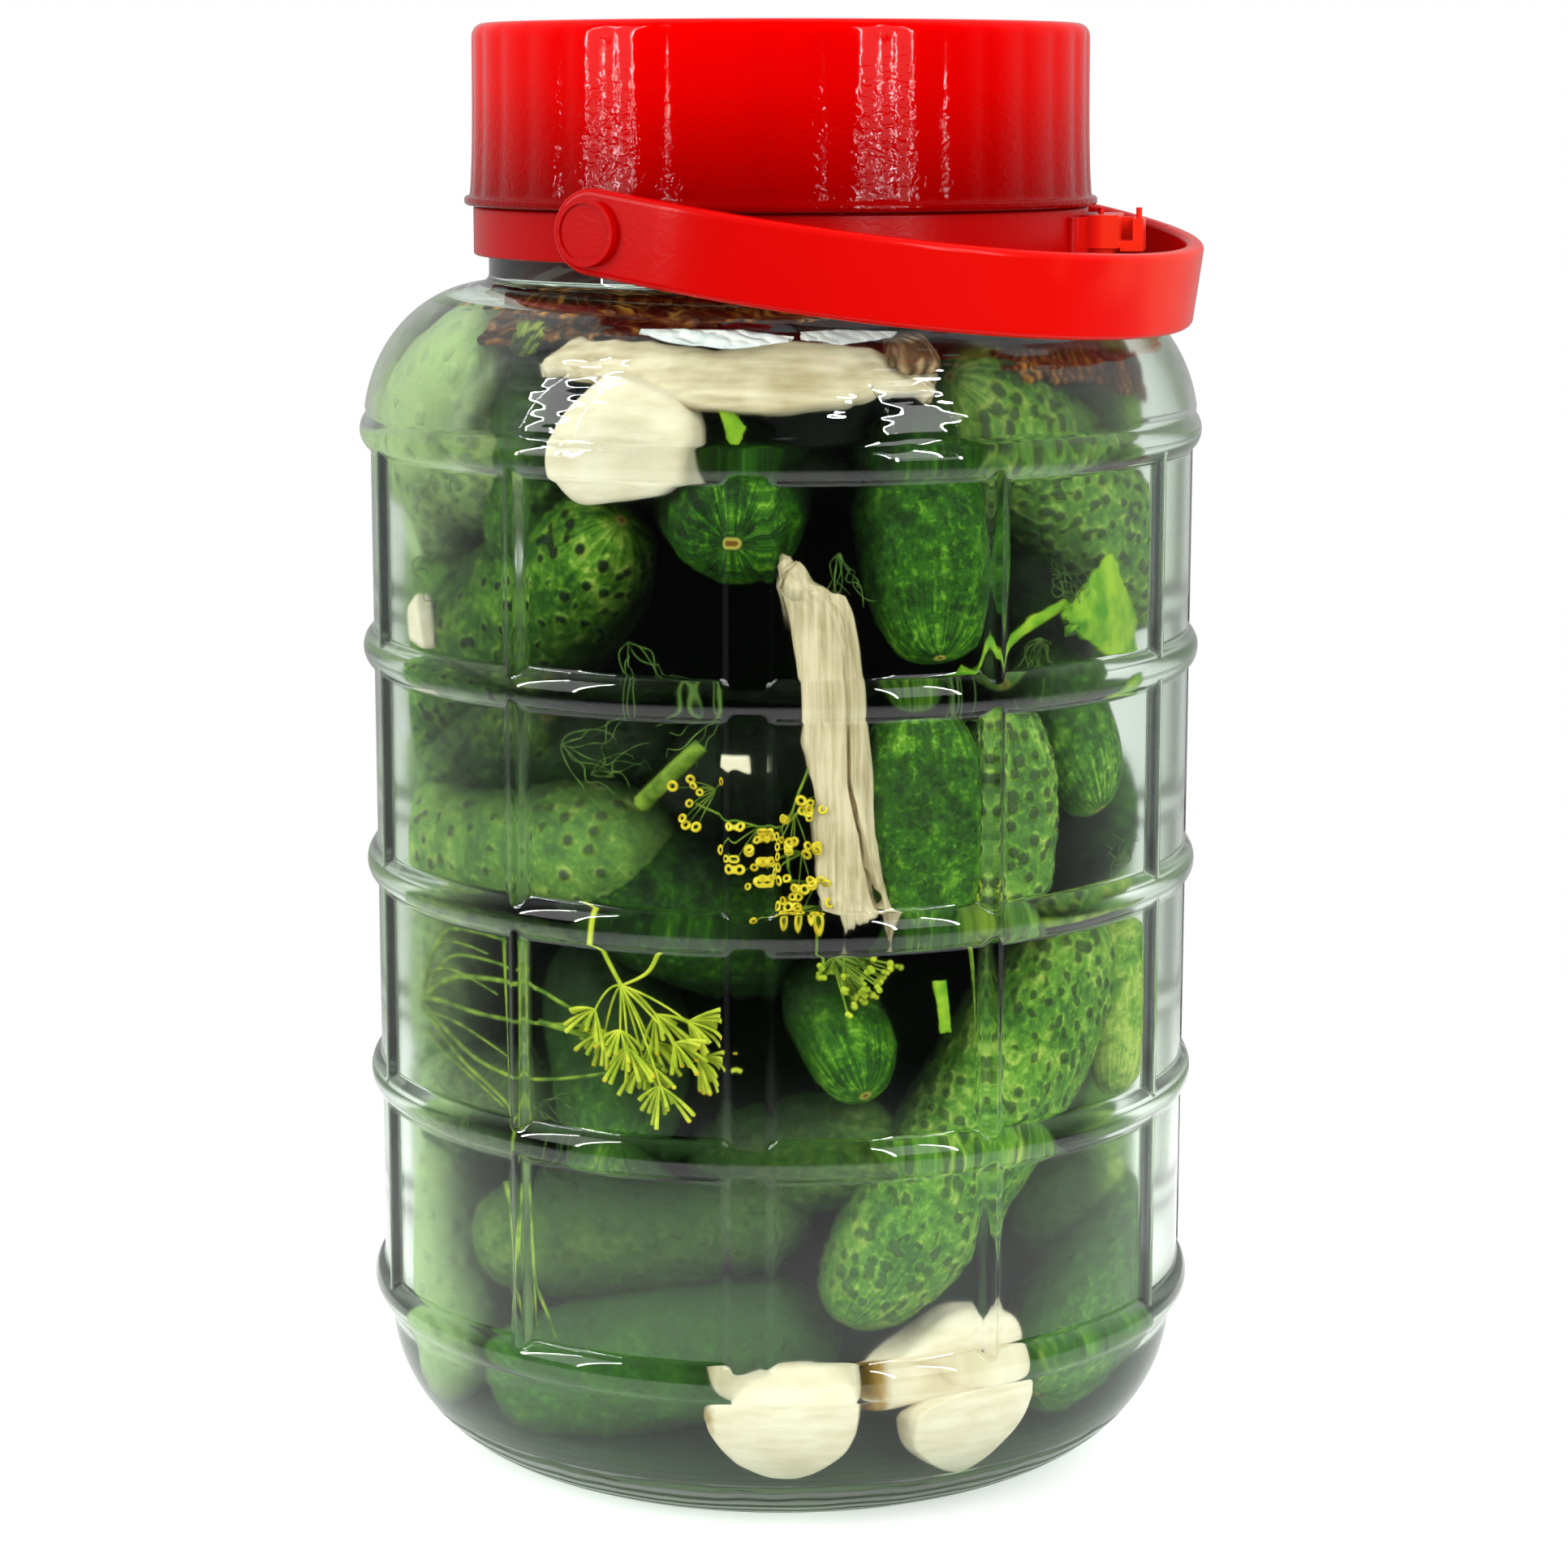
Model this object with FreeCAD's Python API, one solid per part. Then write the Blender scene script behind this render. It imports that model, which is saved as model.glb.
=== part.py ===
"""Large glass pickle jar with a red screw lid, a collar and a swinging strap handle.

The frame is in millimetres: +Z is up, and the origin is the centre of the jar's base on
the surface it stands on. +X runs along the handle's pivot axis, and the handle is folded
down towards -Y. One STEP file is written for each piece.
"""
import FreeCAD, Part
import math
import os

# ---------------------------------------------------------------- driving dimensions

# Glass body
BODY_R = 97.5              # outside radius of the panels between the rings
WALL = 4.0                 # thickness of the glass side wall
FLOOR = 8.0                # thickness of the glass floor, measured from the table
BEARING_R = 64.0           # outer edge of the flat ring that the jar stands on
BEARING_W = 9.0            # width of that flat ring
PUSH_UP = 3.0              # how far the middle of the base is domed up
HEEL_H = 33.0              # height of the rounded heel
HEEL_TOP_INSET = 1.5       # the heel meets the lowest ring this far inside the panels

# Hoops and upright ribs moulded on the glass
RING_COUNT = 5
RING_FIRST_Z = 40.3        # height of the lowest ring's crest
RING_PITCH = 51.6
RING_PROUD = 2.5
RING_H = 9.5
RIB_COUNT = 11
RIB_FIRST_DEG = 205.9      # direction of one rib, anticlockwise from +X
RIB_W = 7.0
RIB_PROUD = 1.9

# Shoulder and neck
SHOULDER_H = 34.0          # from the top ring's crest to the foot of the neck
NECK_R = 69.0
NECK_WALL = 4.0
NECK_SHOWN = 6.6           # bare neck between its foot and the collar
NECK_FILLET = 2.5
RIM_FILLET = 1.5

# Brine
BRINE_BELOW_NECK = 7.0     # the brine's level, below the foot of the neck
FILL_GAP = 0.3             # clearance between the brine and the glass

# Screw lid
SEAT_GAP = 0.3             # clearance where two pieces rest on or ring each other
THREAD_GAP = 2.1           # room for the screw thread between neck and skirt
LID_TOP = 2.4              # thickness of the lid's top
LID_DROP = 39.4            # from the lid's underside down to its open edge
LID_WALL = 2.2             # thickness of the skirt at its foot
LID_TAPER = 0.9            # how much smaller the skirt is at the top
LID_FLANGE_PROUD = 1.3
LID_FLANGE_H = 2.0
LID_CORNER = 3.5
LID_PANEL_SINK = 1.0       # the top is sunk this far inside its rim
LID_RIM_W = 6.0
LOBE_COUNT = 36            # shallow grip lobes round the skirt
LOBE_DEPTH = 0.55          # from a lobe's crown in to the crease beside it
LOBE_FIRST_DEG = 8.5       # direction of one crease, anticlockwise from +X

# Collar round the neck, under the lid
COLLAR_T = 3.2
COLLAR_H = 11.3
COLLAR_EDGE = 0.6          # rounding of the collar's outer edges

# Pivot lugs of the collar
PIVOT_DROP = 4.1           # the pivot axis lies this far below the lid's open edge
LUG_GAP = 0.6              # between the lid's flange and a lug
LUG_R = 8.5
LUG_T = 4.2
LUG_FOOT_W = 15.0
LUG_FOOT_SINK = 1.5        # how deep the lug's foot reaches into the collar band

# Handle: a flat strap bent to a U, with a round stud and a button at each end
STRAP_T = 4.3
STRAP_W = 19.0
STRAP_EDGE = 1.5
SWING_GAP = 4.4            # between the lid's top corner and the strap as it swings over
FOLD_GAP = 3.4             # height of the folded strap above the glass shoulder
STUD_R = 4.0
STUD_GAP = 0.1             # running clearance round the stud
BUTTON_R = 7.4
BUTTON_H = 2.0
BUTTON_RIM_W = 1.1
BUTTON_RIM_H = 0.5

# Closure of the collar: a clasp block with a tongue
CLASP_DEG = 292.0          # direction of the clasp, anticlockwise from +X
CLASP_LEN = 24.0           # along the collar
CLASP_PROUD = 7.8
CLASP_Z_LOW = 2.0          # from the collar's lower edge up to the block
CLASP_H = 7.6
CLASP_FOOT_INSET = 1.6
TONGUE_LEN = 14.0
TONGUE_PROUD = 5.3         # beyond the clasp block
TONGUE_T = 2.4
NIB_R = 0.7
NIB_H = 1.4
PAD_PROUD = 1.8            # thickened stretch of the collar beside the clasp
PAD_DEG = 17.0

# ---------------------------------------------------------------- derived places

ring_z = [RING_FIRST_Z + i * RING_PITCH for i in range(RING_COUNT)]
shoulder_z = ring_z[-1]
neck_z = shoulder_z + SHOULDER_H
rim_z = neck_z + NECK_SHOWN + COLLAR_H + LID_DROP
brine_z = neck_z - BRINE_BELOW_NECK

lid_under_z = rim_z + SEAT_GAP
lid_top_z = lid_under_z + LID_TOP
lid_edge_z = lid_under_z - LID_DROP
lid_inner_r = NECK_R + THREAD_GAP
skirt_r = lid_inner_r + LID_WALL
lid_head_r = skirt_r - LID_TAPER
flange_r = skirt_r + LID_FLANGE_PROUD

collar_r = NECK_R + SEAT_GAP + COLLAR_T
collar_top_z = lid_edge_z - SEAT_GAP
collar_low_z = collar_top_z - COLLAR_H
clasp_out_r = collar_r + CLASP_PROUD
tongue_out_r = clasp_out_r + TONGUE_PROUD

pivot_z = lid_edge_z - PIVOT_DROP
lug_in_x = flange_r + LUG_GAP
lug_out_x = lug_in_x + LUG_T
leg_in_x = lug_out_x + SEAT_GAP
leg_out_x = leg_in_x + STRAP_T
leg_len = lid_top_z - pivot_z - math.sqrt(leg_in_x ** 2 - lid_head_r ** 2) + SWING_GAP

UP = FreeCAD.Vector(0, 0, 1)
ORIGIN = FreeCAD.Vector(0, 0, 0)


def at(r, z):
    """A point of a lathe profile, drawn in the XZ plane."""
    return FreeCAD.Vector(r, 0, z)


def line(start, end):
    return Part.LineSegment(at(*start), at(*end)).toShape()


def arc(start, middle, end):
    return Part.Arc(at(*start), at(*middle), at(*end)).toShape()


def ellipse_quarter(centre, side_r, rise, upper):
    """A quarter of an upright ellipse, from its side to its top or its bottom."""
    r0, z0 = centre
    tip = z0 + rise if upper else z0 - rise
    side = at(r0 + side_r, z0)
    if side_r >= rise:
        ellipse = Part.Ellipse(side, at(r0, tip), at(r0, z0))
    else:
        ellipse = Part.Ellipse(at(r0, tip), side, at(r0, z0))
    first = ellipse.parameter(side)
    last = ellipse.parameter(at(r0, tip))
    turn = 2 * math.pi
    if (last - first) % turn > math.pi:
        first, last = last, first
    return Part.ArcOfEllipse(ellipse, first, first + (last - first) % turn).toShape()


def revolve(edges):
    """Turn a closed profile into a solid of revolution about the jar's axis."""
    wire = Part.Wire(Part.__sortEdges__(edges))
    return Part.Face(wire).revolve(ORIGIN, UP, 360)


def tube(outer_r, inner_r, low_z, height):
    outer = Part.makeCylinder(outer_r, height, at(0, low_z))
    return outer.cut(Part.makeCylinder(inner_r, height, at(0, low_z)))


def circle_edges(shape, radius, z):
    """The round edges of a solid that lie at one height with one radius."""
    round_edges = [e for e in shape.Edges if not e.Degenerated and isinstance(e.Curve, Part.Circle)]
    level = [e for e in round_edges if abs(e.Curve.Center.z - z) < 0.01]
    return [e for e in level if abs(e.Curve.Radius - radius) < 0.01]


def radial_block(near_r, far_r, width, low_z, height, offset=0.0):
    """A block that reaches outwards along +X, shifted sideways by an offset."""
    corner = FreeCAD.Vector(near_r, offset - width / 2, low_z)
    return Part.makeBox(far_r - near_r, width, height, corner)


def turned(shape, degrees, axis=UP, centre=ORIGIN):
    copy = shape.copy()
    copy.rotate(centre, axis, degrees)
    return copy


# ---------------------------------------------------------------- glass jar

def hollow_profile(side_r, floor_z, shoulder_rise, neck_inner_r):
    """Edges of the jar's inside from the middle of its floor to the top of its shoulder."""
    heel_r = BEARING_R - WALL / 2
    heel_rise = HEEL_H - floor_z + WALL
    heel_top_z = floor_z + heel_rise
    heel_side = side_r - heel_r
    shoulder_side = side_r - neck_inner_r
    return [
        line((0, floor_z), (heel_r, floor_z)),
        ellipse_quarter((heel_r, heel_top_z), heel_side, heel_rise, upper=False),
        line((side_r, heel_top_z), (side_r, shoulder_z)),
        ellipse_quarter((neck_inner_r, shoulder_z), shoulder_side, shoulder_rise, upper=True),
    ]


def outer_profile():
    """Edges of the jar's outside from the bearing ring to the sealing rim."""
    heel_side_r = BODY_R - HEEL_TOP_INSET
    edges = [
        ellipse_quarter((BEARING_R, HEEL_H), heel_side_r - BEARING_R, HEEL_H, upper=False),
        line((heel_side_r, HEEL_H), (BODY_R, ring_z[0] - RING_H / 2)),
    ]
    for z in ring_z[:-1]:
        low, high = z - RING_H / 2, z + RING_H / 2
        edges.append(arc((BODY_R, low), (BODY_R + RING_PROUD, z), (BODY_R, high)))
        edges.append(line((BODY_R, high), (BODY_R, z + RING_PITCH - RING_H / 2)))
    crest_r = BODY_R + RING_PROUD
    ring_side = (RING_PROUD ** 2 + (RING_H / 2) ** 2) / (2 * RING_PROUD)
    half = math.asin(RING_H / 2 / ring_side) / 2
    flank = (crest_r - ring_side * (1 - math.cos(half)), shoulder_z - ring_side * math.sin(half))
    edges.append(arc((BODY_R, shoulder_z - RING_H / 2), flank, (crest_r, shoulder_z)))
    side = crest_r - NECK_R
    edges.append(ellipse_quarter((NECK_R, shoulder_z), side, SHOULDER_H, upper=True))
    edges.append(line((NECK_R, neck_z), (NECK_R, rim_z)))
    return edges


def make_rib():
    """One upright half-round rib, standing on the panels from the lowest ring to the top one."""
    base_x = BODY_R - WALL / 4
    top_x = BODY_R + RIB_PROUD
    left = FreeCAD.Vector(base_x, -RIB_W / 2, ring_z[0])
    right = FreeCAD.Vector(base_x, RIB_W / 2, ring_z[0])
    crown = FreeCAD.Vector(top_x, 0, ring_z[0])
    bow = Part.Arc(left, crown, right).toShape()
    chord = Part.LineSegment(right, left).toShape()
    face = Part.Face(Part.Wire([bow, chord]))
    return face.extrude(FreeCAD.Vector(0, 0, ring_z[-1] - ring_z[0]))


def make_jar():
    neck_inner_r = NECK_R - NECK_WALL
    inner_side_r = BODY_R - WALL
    inner_rise = SHOULDER_H - WALL
    inner_top_z = shoulder_z + inner_rise
    bearing_in = BEARING_R - BEARING_W
    edges = outer_profile() + hollow_profile(inner_side_r, FLOOR, inner_rise, neck_inner_r)
    edges += [
        line((BEARING_R, 0), (bearing_in, 0)),
        arc((bearing_in, 0), (bearing_in / 2, PUSH_UP * 0.75), (0, PUSH_UP)),
        line((0, PUSH_UP), (0, FLOOR)),
        line((neck_inner_r, inner_top_z), (neck_inner_r, rim_z)),
        line((neck_inner_r, rim_z), (NECK_R, rim_z)),
    ]
    jar = revolve(edges)
    foot = circle_edges(jar, NECK_R, neck_z)
    jar = jar.makeFillet(NECK_FILLET, foot)
    rim = circle_edges(jar, NECK_R, rim_z) + circle_edges(jar, neck_inner_r, rim_z)
    jar = jar.makeFillet(RIM_FILLET, rim)
    rib = make_rib()
    step = 360 / RIB_COUNT
    ribs = [turned(rib, RIB_FIRST_DEG + i * step) for i in range(RIB_COUNT)]
    return jar.fuse(ribs)


# ---------------------------------------------------------------- brine

def make_brine():
    """What fills the jar up to its level, a small clearance inside the glass."""
    side_r = BODY_R - WALL - FILL_GAP
    rise = SHOULDER_H - WALL - FILL_GAP
    neck_inner_r = NECK_R - NECK_WALL - FILL_GAP
    edges = hollow_profile(side_r, FLOOR + FILL_GAP, rise, neck_inner_r)
    top_z = shoulder_z + rise
    edges.append(line((neck_inner_r, top_z), (0, top_z)))
    edges.append(line((0, top_z), (0, FLOOR + FILL_GAP)))
    above = Part.makeCylinder(BODY_R, SHOULDER_H, at(0, brine_z))
    return revolve(edges).cut(above)


# ---------------------------------------------------------------- lid

def lobed_outline(crown_r, z):
    """The skirt's outline at one height: low lobes that meet in upright creases."""
    step = 2 * math.pi / LOBE_COUNT
    first = math.radians(LOBE_FIRST_DEG)
    crease_r = crown_r - LOBE_DEPTH
    arcs = []
    for i in range(LOBE_COUNT):
        start = first + i * step
        points = [(crease_r, start), (crown_r, start + step / 2), (crease_r, start + step)]
        places = [FreeCAD.Vector(r * math.cos(a), r * math.sin(a), z) for r, a in points]
        arcs.append(Part.Arc(*places).toShape())
    return Part.Wire(arcs)


def make_lid():
    panel_r = lid_head_r - LID_RIM_W
    sunk_z = lid_top_z - LID_PANEL_SINK
    lobe_low_z = lid_edge_z + LID_FLANGE_H / 2
    outlines = [lobed_outline(skirt_r, lobe_low_z), lobed_outline(lid_head_r, lid_top_z)]
    skirt = Part.makeLoft(outlines, True, True)
    corner_in = LID_CORNER * (1 - math.sqrt(0.5))
    reach_r = lid_head_r - LOBE_DEPTH / 2
    crown = revolve([
        line((0, lid_edge_z), (flange_r, lid_edge_z)),
        line((flange_r, lid_edge_z), (flange_r, lid_top_z - LID_CORNER - LID_TAPER)),
        line((flange_r, lid_top_z - LID_CORNER - LID_TAPER), (reach_r, lid_top_z - LID_CORNER)),
        arc((reach_r, lid_top_z - LID_CORNER), (reach_r - corner_in, lid_top_z - corner_in),
            (reach_r - LID_CORNER, lid_top_z)),
        line((reach_r - LID_CORNER, lid_top_z), (panel_r, lid_top_z)),
        line((panel_r, lid_top_z), (panel_r - LID_PANEL_SINK, sunk_z)),
        line((panel_r - LID_PANEL_SINK, sunk_z), (0, sunk_z)),
        line((0, sunk_z), (0, lid_edge_z)),
    ])
    flange = Part.makeCylinder(flange_r, LID_FLANGE_H, at(0, lid_edge_z))
    hollow = Part.makeCylinder(lid_inner_r, LID_DROP, at(0, lid_edge_z))
    return skirt.common(crown).fuse(flange).cut(hollow)


# ---------------------------------------------------------------- collar

def make_lug():
    """The lug on +X: a round plate on a foot, with the blind bore for the handle's stud."""
    along = FreeCAD.Vector(1, 0, 0)
    plate = Part.makeCylinder(LUG_R, LUG_T, at(lug_in_x, pivot_z), along)
    near_r = collar_r - LUG_FOOT_SINK
    foot = radial_block(near_r, lug_out_x, LUG_FOOT_W, collar_low_z, COLLAR_H)
    lug = plate.fuse(foot)
    bore = Part.makeCylinder(STUD_R + STUD_GAP, LUG_T, at(lug_in_x, pivot_z), along)
    return lug.cut(bore)


def make_clasp():
    """The collar's closure on +X: a block on a stepped foot, a tongue, nibs and a pad."""
    block_z = collar_low_z + CLASP_Z_LOW
    near_r = collar_r - LUG_FOOT_SINK
    top_z = block_z + CLASP_H
    block = radial_block(near_r, clasp_out_r, CLASP_LEN, block_z, CLASP_H)
    foot_w = CLASP_LEN - 2 * CLASP_FOOT_INSET
    foot = radial_block(near_r, clasp_out_r - CLASP_FOOT_INSET, foot_w, collar_low_z, CLASP_Z_LOW)
    tongue_side = CLASP_LEN / 2 - TONGUE_LEN / 2
    tongue_z = block_z - CLASP_Z_LOW / 2
    tongue = radial_block(clasp_out_r, tongue_out_r, TONGUE_LEN, tongue_z, CLASP_H, tongue_side)
    plate_r = tongue_out_r - TONGUE_T
    slot_w = TONGUE_LEN - TONGUE_T
    slot_side = tongue_side - TONGUE_T / 2
    slot_z = tongue_z + TONGUE_T
    slot = radial_block(clasp_out_r, plate_r, slot_w, slot_z, CLASP_H, slot_side)
    clasp = block.fuse([foot, tongue.cut(slot)])
    for nib_r in (clasp_out_r - 2 * TONGUE_T, plate_r + TONGUE_T / 2):
        nib_low = tongue_z
        nib_top = top_z + NIB_H
        nib = Part.makeCylinder(NIB_R, nib_top - nib_low, FreeCAD.Vector(nib_r, TONGUE_T, nib_low))
        clasp = clasp.fuse(nib)
    return clasp


def make_pad():
    """A thicker stretch of the band that runs up to the clasp."""
    ring = tube(collar_r + PAD_PROUD, collar_r - LUG_FOOT_SINK, collar_low_z, COLLAR_H - CLASP_Z_LOW)
    reach = 2 * collar_r
    start = FreeCAD.Vector(0, 0, collar_low_z)
    first = FreeCAD.Vector(reach, 0, collar_low_z)
    turn = math.radians(PAD_DEG)
    last = FreeCAD.Vector(reach * math.cos(turn), -reach * math.sin(turn), collar_low_z)
    wedge = Part.Face(Part.makePolygon([start, first, last, start])).extrude(UP * COLLAR_H)
    pad = ring.common(wedge)
    ends = [e for e in pad.Edges if e.BoundBox.ZLength > 1 and far_end(e, last)]
    return pad.makeFillet(PAD_PROUD, ends)


def far_end(edge, toward):
    """Whether an upright edge is the pad's outer one on the side of a given point."""
    middle = edge.BoundBox.Center
    outside = math.hypot(middle.x, middle.y) > collar_r
    side = abs(math.atan2(middle.y, middle.x) - math.atan2(toward.y, toward.x)) < 0.01
    return outside and side


def make_collar():
    band = tube(collar_r, NECK_R + SEAT_GAP, collar_low_z, COLLAR_H)
    outer = circle_edges(band, collar_r, collar_low_z) + circle_edges(band, collar_r, collar_top_z)
    band = band.makeFillet(COLLAR_EDGE, outer)
    lug = make_lug()
    clasp = turned(make_clasp(), CLASP_DEG)
    pad = turned(make_pad(), CLASP_DEG)
    return band.fuse([lug, turned(lug, 180), clasp, pad])


# ---------------------------------------------------------------- handle

def make_strap():
    """The U-shaped strap, lying flat: its pivot axis is X and its bend is towards -Y."""
    outer_r = leg_out_x
    inner_r = leg_in_x
    half_w = STRAP_W / 2
    low = FreeCAD.Vector(0, -leg_len, -half_w)
    bend = Part.makeCylinder(outer_r, STRAP_W, low).cut(Part.makeCylinder(inner_r, STRAP_W, low))
    corner = FreeCAD.Vector(-2 * outer_r, -leg_len - 2 * outer_r, -half_w)
    front = Part.makeBox(4 * outer_r, 2 * outer_r, STRAP_W, corner)
    bend = bend.common(front)
    leg = Part.makeBox(STRAP_T, leg_len, STRAP_W, FreeCAD.Vector(inner_r, -leg_len, -half_w))
    end = Part.makeCylinder(half_w, STRAP_T, FreeCAD.Vector(inner_r, 0, 0), FreeCAD.Vector(1, 0, 0))
    leg = leg.fuse(end)
    strap = bend.fuse([leg, leg.mirror(ORIGIN, FreeCAD.Vector(1, 0, 0))])
    strap = strap.removeSplitter()
    return strap.makeFillet(STRAP_EDGE, [e for e in strap.Edges if on_outline(e)])


def on_outline(edge):
    """Whether an edge runs along the strap; the smooth seams across it don't."""
    if isinstance(edge.Curve, Part.Line):
        return abs(edge.tangentAt(edge.FirstParameter).y) > 0.99
    return True


def make_end():
    """The button outside the +X leg and the stud that turns in the lug."""
    along = FreeCAD.Vector(1, 0, 0)
    button = Part.makeCylinder(BUTTON_R, BUTTON_H, FreeCAD.Vector(leg_out_x, 0, 0), along)
    face_x = leg_out_x + BUTTON_H - BUTTON_RIM_H
    hollow_r = BUTTON_R - BUTTON_RIM_W
    hollow = Part.makeCylinder(hollow_r, BUTTON_RIM_H, FreeCAD.Vector(face_x, 0, 0), along)
    stud_x = lug_in_x + SEAT_GAP
    stud = Part.makeCylinder(STUD_R, leg_out_x - stud_x, FreeCAD.Vector(stud_x, 0, 0), along)
    return button.cut(hollow).fuse(stud)


def shoulder_height(r):
    """Height of the glass shoulder at a distance from the jar's axis."""
    side = BODY_R + RING_PROUD - NECK_R
    share = (r - NECK_R) / side
    if share >= 1:
        return 0.0
    return shoulder_z + SHOULDER_H * math.sqrt(1 - max(share, 0) ** 2)


def fold_clearance(degrees):
    """Least height of the strap's lower edges over the shoulder at a downward slope."""
    slope = math.radians(degrees)
    least = SHOULDER_H
    for bend_r in (leg_in_x, leg_out_x):
        for turn in range(0, 91, 5):
            x = bend_r * math.cos(math.radians(turn))
            reach = leg_len + bend_r * math.sin(math.radians(turn))
            y = reach * math.cos(slope) - STRAP_W / 2 * math.sin(slope)
            z = pivot_z - reach * math.sin(slope) - STRAP_W / 2 * math.cos(slope)
            least = min(least, z - shoulder_height(math.hypot(x, y)))
    return least


def fold_slope():
    """The steepest slope, in degrees, at which the folded strap clears the shoulder."""
    level, steep = 0.0, 45.0
    while steep - level > 0.001:
        middle = (level + steep) / 2
        if fold_clearance(middle) > FOLD_GAP:
            level = middle
        else:
            steep = middle
    return level


def make_handle():
    end = make_end()
    handle = make_strap().fuse([end, turned(end, 180)])
    fold_deg = fold_slope()
    print("pivot axis at z %.2f, folded %.2f degrees below level" % (pivot_z, fold_deg))
    handle = turned(handle, fold_deg, FreeCAD.Vector(1, 0, 0))
    handle.translate(FreeCAD.Vector(0, 0, pivot_z))
    return handle


# ---------------------------------------------------------------- output

PIECES = {
    "jar": make_jar,
    "brine": make_brine,
    "lid": make_lid,
    "collar": make_collar,
    "handle": make_handle,
}

os.makedirs("parts", exist_ok=True)
for name, make in PIECES.items():
    shape = make()
    if shape.ShapeType == "Compound" and len(shape.Solids) == 1:
        shape = shape.Solids[0]
    box = shape.optimalBoundingBox(False)
    print(name, shape.ShapeType, len(shape.Solids), "valid", shape.isValid(),
          "volume cm3 %.1f" % (shape.Volume / 1000),
          "z %.1f to %.1f" % (box.ZMin, box.ZMax), "y %.1f to %.1f" % (box.YMin, box.YMax))
    shape.exportStep("parts/%s.step" % name)
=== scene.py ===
# %% [markdown]
# # A big jar of pickled gherkins
# The real thing is a pressed glass catering jar with five hoops and eleven upright ribs. It is
# packed with gherkins, garlic, horseradish and dill in brine, and closed by a red screw lid. A red
# collar round its neck carries a strap handle. The CAD model is the fixed frame: its boxes say
# where the glass, brine, lid, collar and handle are, and everything here is built round them.
# %% Load the frame
import math
import random

import bmesh
import bpy
import numpy as np
from mathutils import Matrix, Vector, noise


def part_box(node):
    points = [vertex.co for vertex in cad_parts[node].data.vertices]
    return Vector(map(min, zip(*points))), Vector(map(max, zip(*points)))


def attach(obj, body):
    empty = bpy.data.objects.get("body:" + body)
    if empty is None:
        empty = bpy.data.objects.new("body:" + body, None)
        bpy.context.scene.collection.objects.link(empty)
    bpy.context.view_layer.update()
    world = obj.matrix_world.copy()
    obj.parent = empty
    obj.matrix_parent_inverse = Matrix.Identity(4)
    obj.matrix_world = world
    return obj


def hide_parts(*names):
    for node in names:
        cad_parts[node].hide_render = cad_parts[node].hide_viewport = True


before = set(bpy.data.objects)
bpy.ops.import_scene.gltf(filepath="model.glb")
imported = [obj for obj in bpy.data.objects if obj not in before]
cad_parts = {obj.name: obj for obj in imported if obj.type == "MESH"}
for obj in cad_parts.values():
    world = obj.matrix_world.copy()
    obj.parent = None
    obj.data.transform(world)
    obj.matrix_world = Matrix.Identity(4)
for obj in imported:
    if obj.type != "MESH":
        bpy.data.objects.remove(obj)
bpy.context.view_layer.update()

MM = 0.001
jar_low, jar_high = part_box("jar")
brine_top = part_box("brine")[1].z
level = brine_top / MM
print("jar", [round(v / MM, 1) for v in jar_high - jar_low], "brine up to", round(brine_top / MM, 1))

# %% [markdown]
# Colours are written as the hex values that a paint program shows. Blender mixes light in linear
# values, so one function turns hex to linear, and every material uses it. A second small function
# adds a node with its settings and its links, which keeps each material as short as a recipe.
# %% Colour and node helpers
def linear(hex_colour):
    """A hex sRGB colour as the linear RGBA that Blender's nodes take."""
    parts = [int(hex_colour[i : i + 2], 16) / 255 for i in (1, 3, 5)]
    return [v / 12.92 if v <= 0.04045 else ((v + 0.055) / 1.055) ** 2.4 for v in parts] + [1.0]


def add(tree, kind, sockets=None, stops=None, **settings):
    """Add one node. Each socket gets a value, or a link when it is given another node's output."""
    node = tree.nodes.new(kind)
    for name, value in settings.items():
        setattr(node, name, value)
    for key, value in (sockets or {}).items():
        if isinstance(value, bpy.types.NodeSocket):
            tree.links.new(value, node.inputs[key])
        else:
            node.inputs[key].default_value = value
    if stops:
        ramp = node.color_ramp.elements
        while len(ramp) < len(stops):
            ramp.new(1.0)
        for element, (place, colour) in zip(ramp, stops):
            element.position, element.color = place, colour
    return node


def new_material(name):
    """An empty material, its node tree and its output node."""
    material = bpy.data.materials.new(name)
    material.use_nodes = True
    material.node_tree.nodes.clear()
    return material, material.node_tree, add(material.node_tree, "ShaderNodeOutputMaterial")


# %% [markdown]
# Every piece ends the same way: its mesh becomes an object at the origin, its faces are shaded
# smooth, it gets its material, and it is told which CAD body it rides on.
# %% Finish a piece
def finish_piece(name, shape, material, body, replaces=None):
    """Turn a bmesh into a piece that rides on a CAD body."""
    mesh = bpy.data.meshes.new(name)
    shape.to_mesh(mesh)
    shape.free()
    mesh.polygons.foreach_set("use_smooth", [True] * len(mesh.polygons))
    piece = bpy.data.objects.new(name, mesh)
    bpy.context.scene.collection.objects.link(piece)
    mesh.materials.append(material)
    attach(piece, body)
    if replaces:
        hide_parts(replaces)
    print(f"{name}: {sum(len(p.vertices) - 2 for p in mesh.polygons)} triangles")
    return piece


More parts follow.
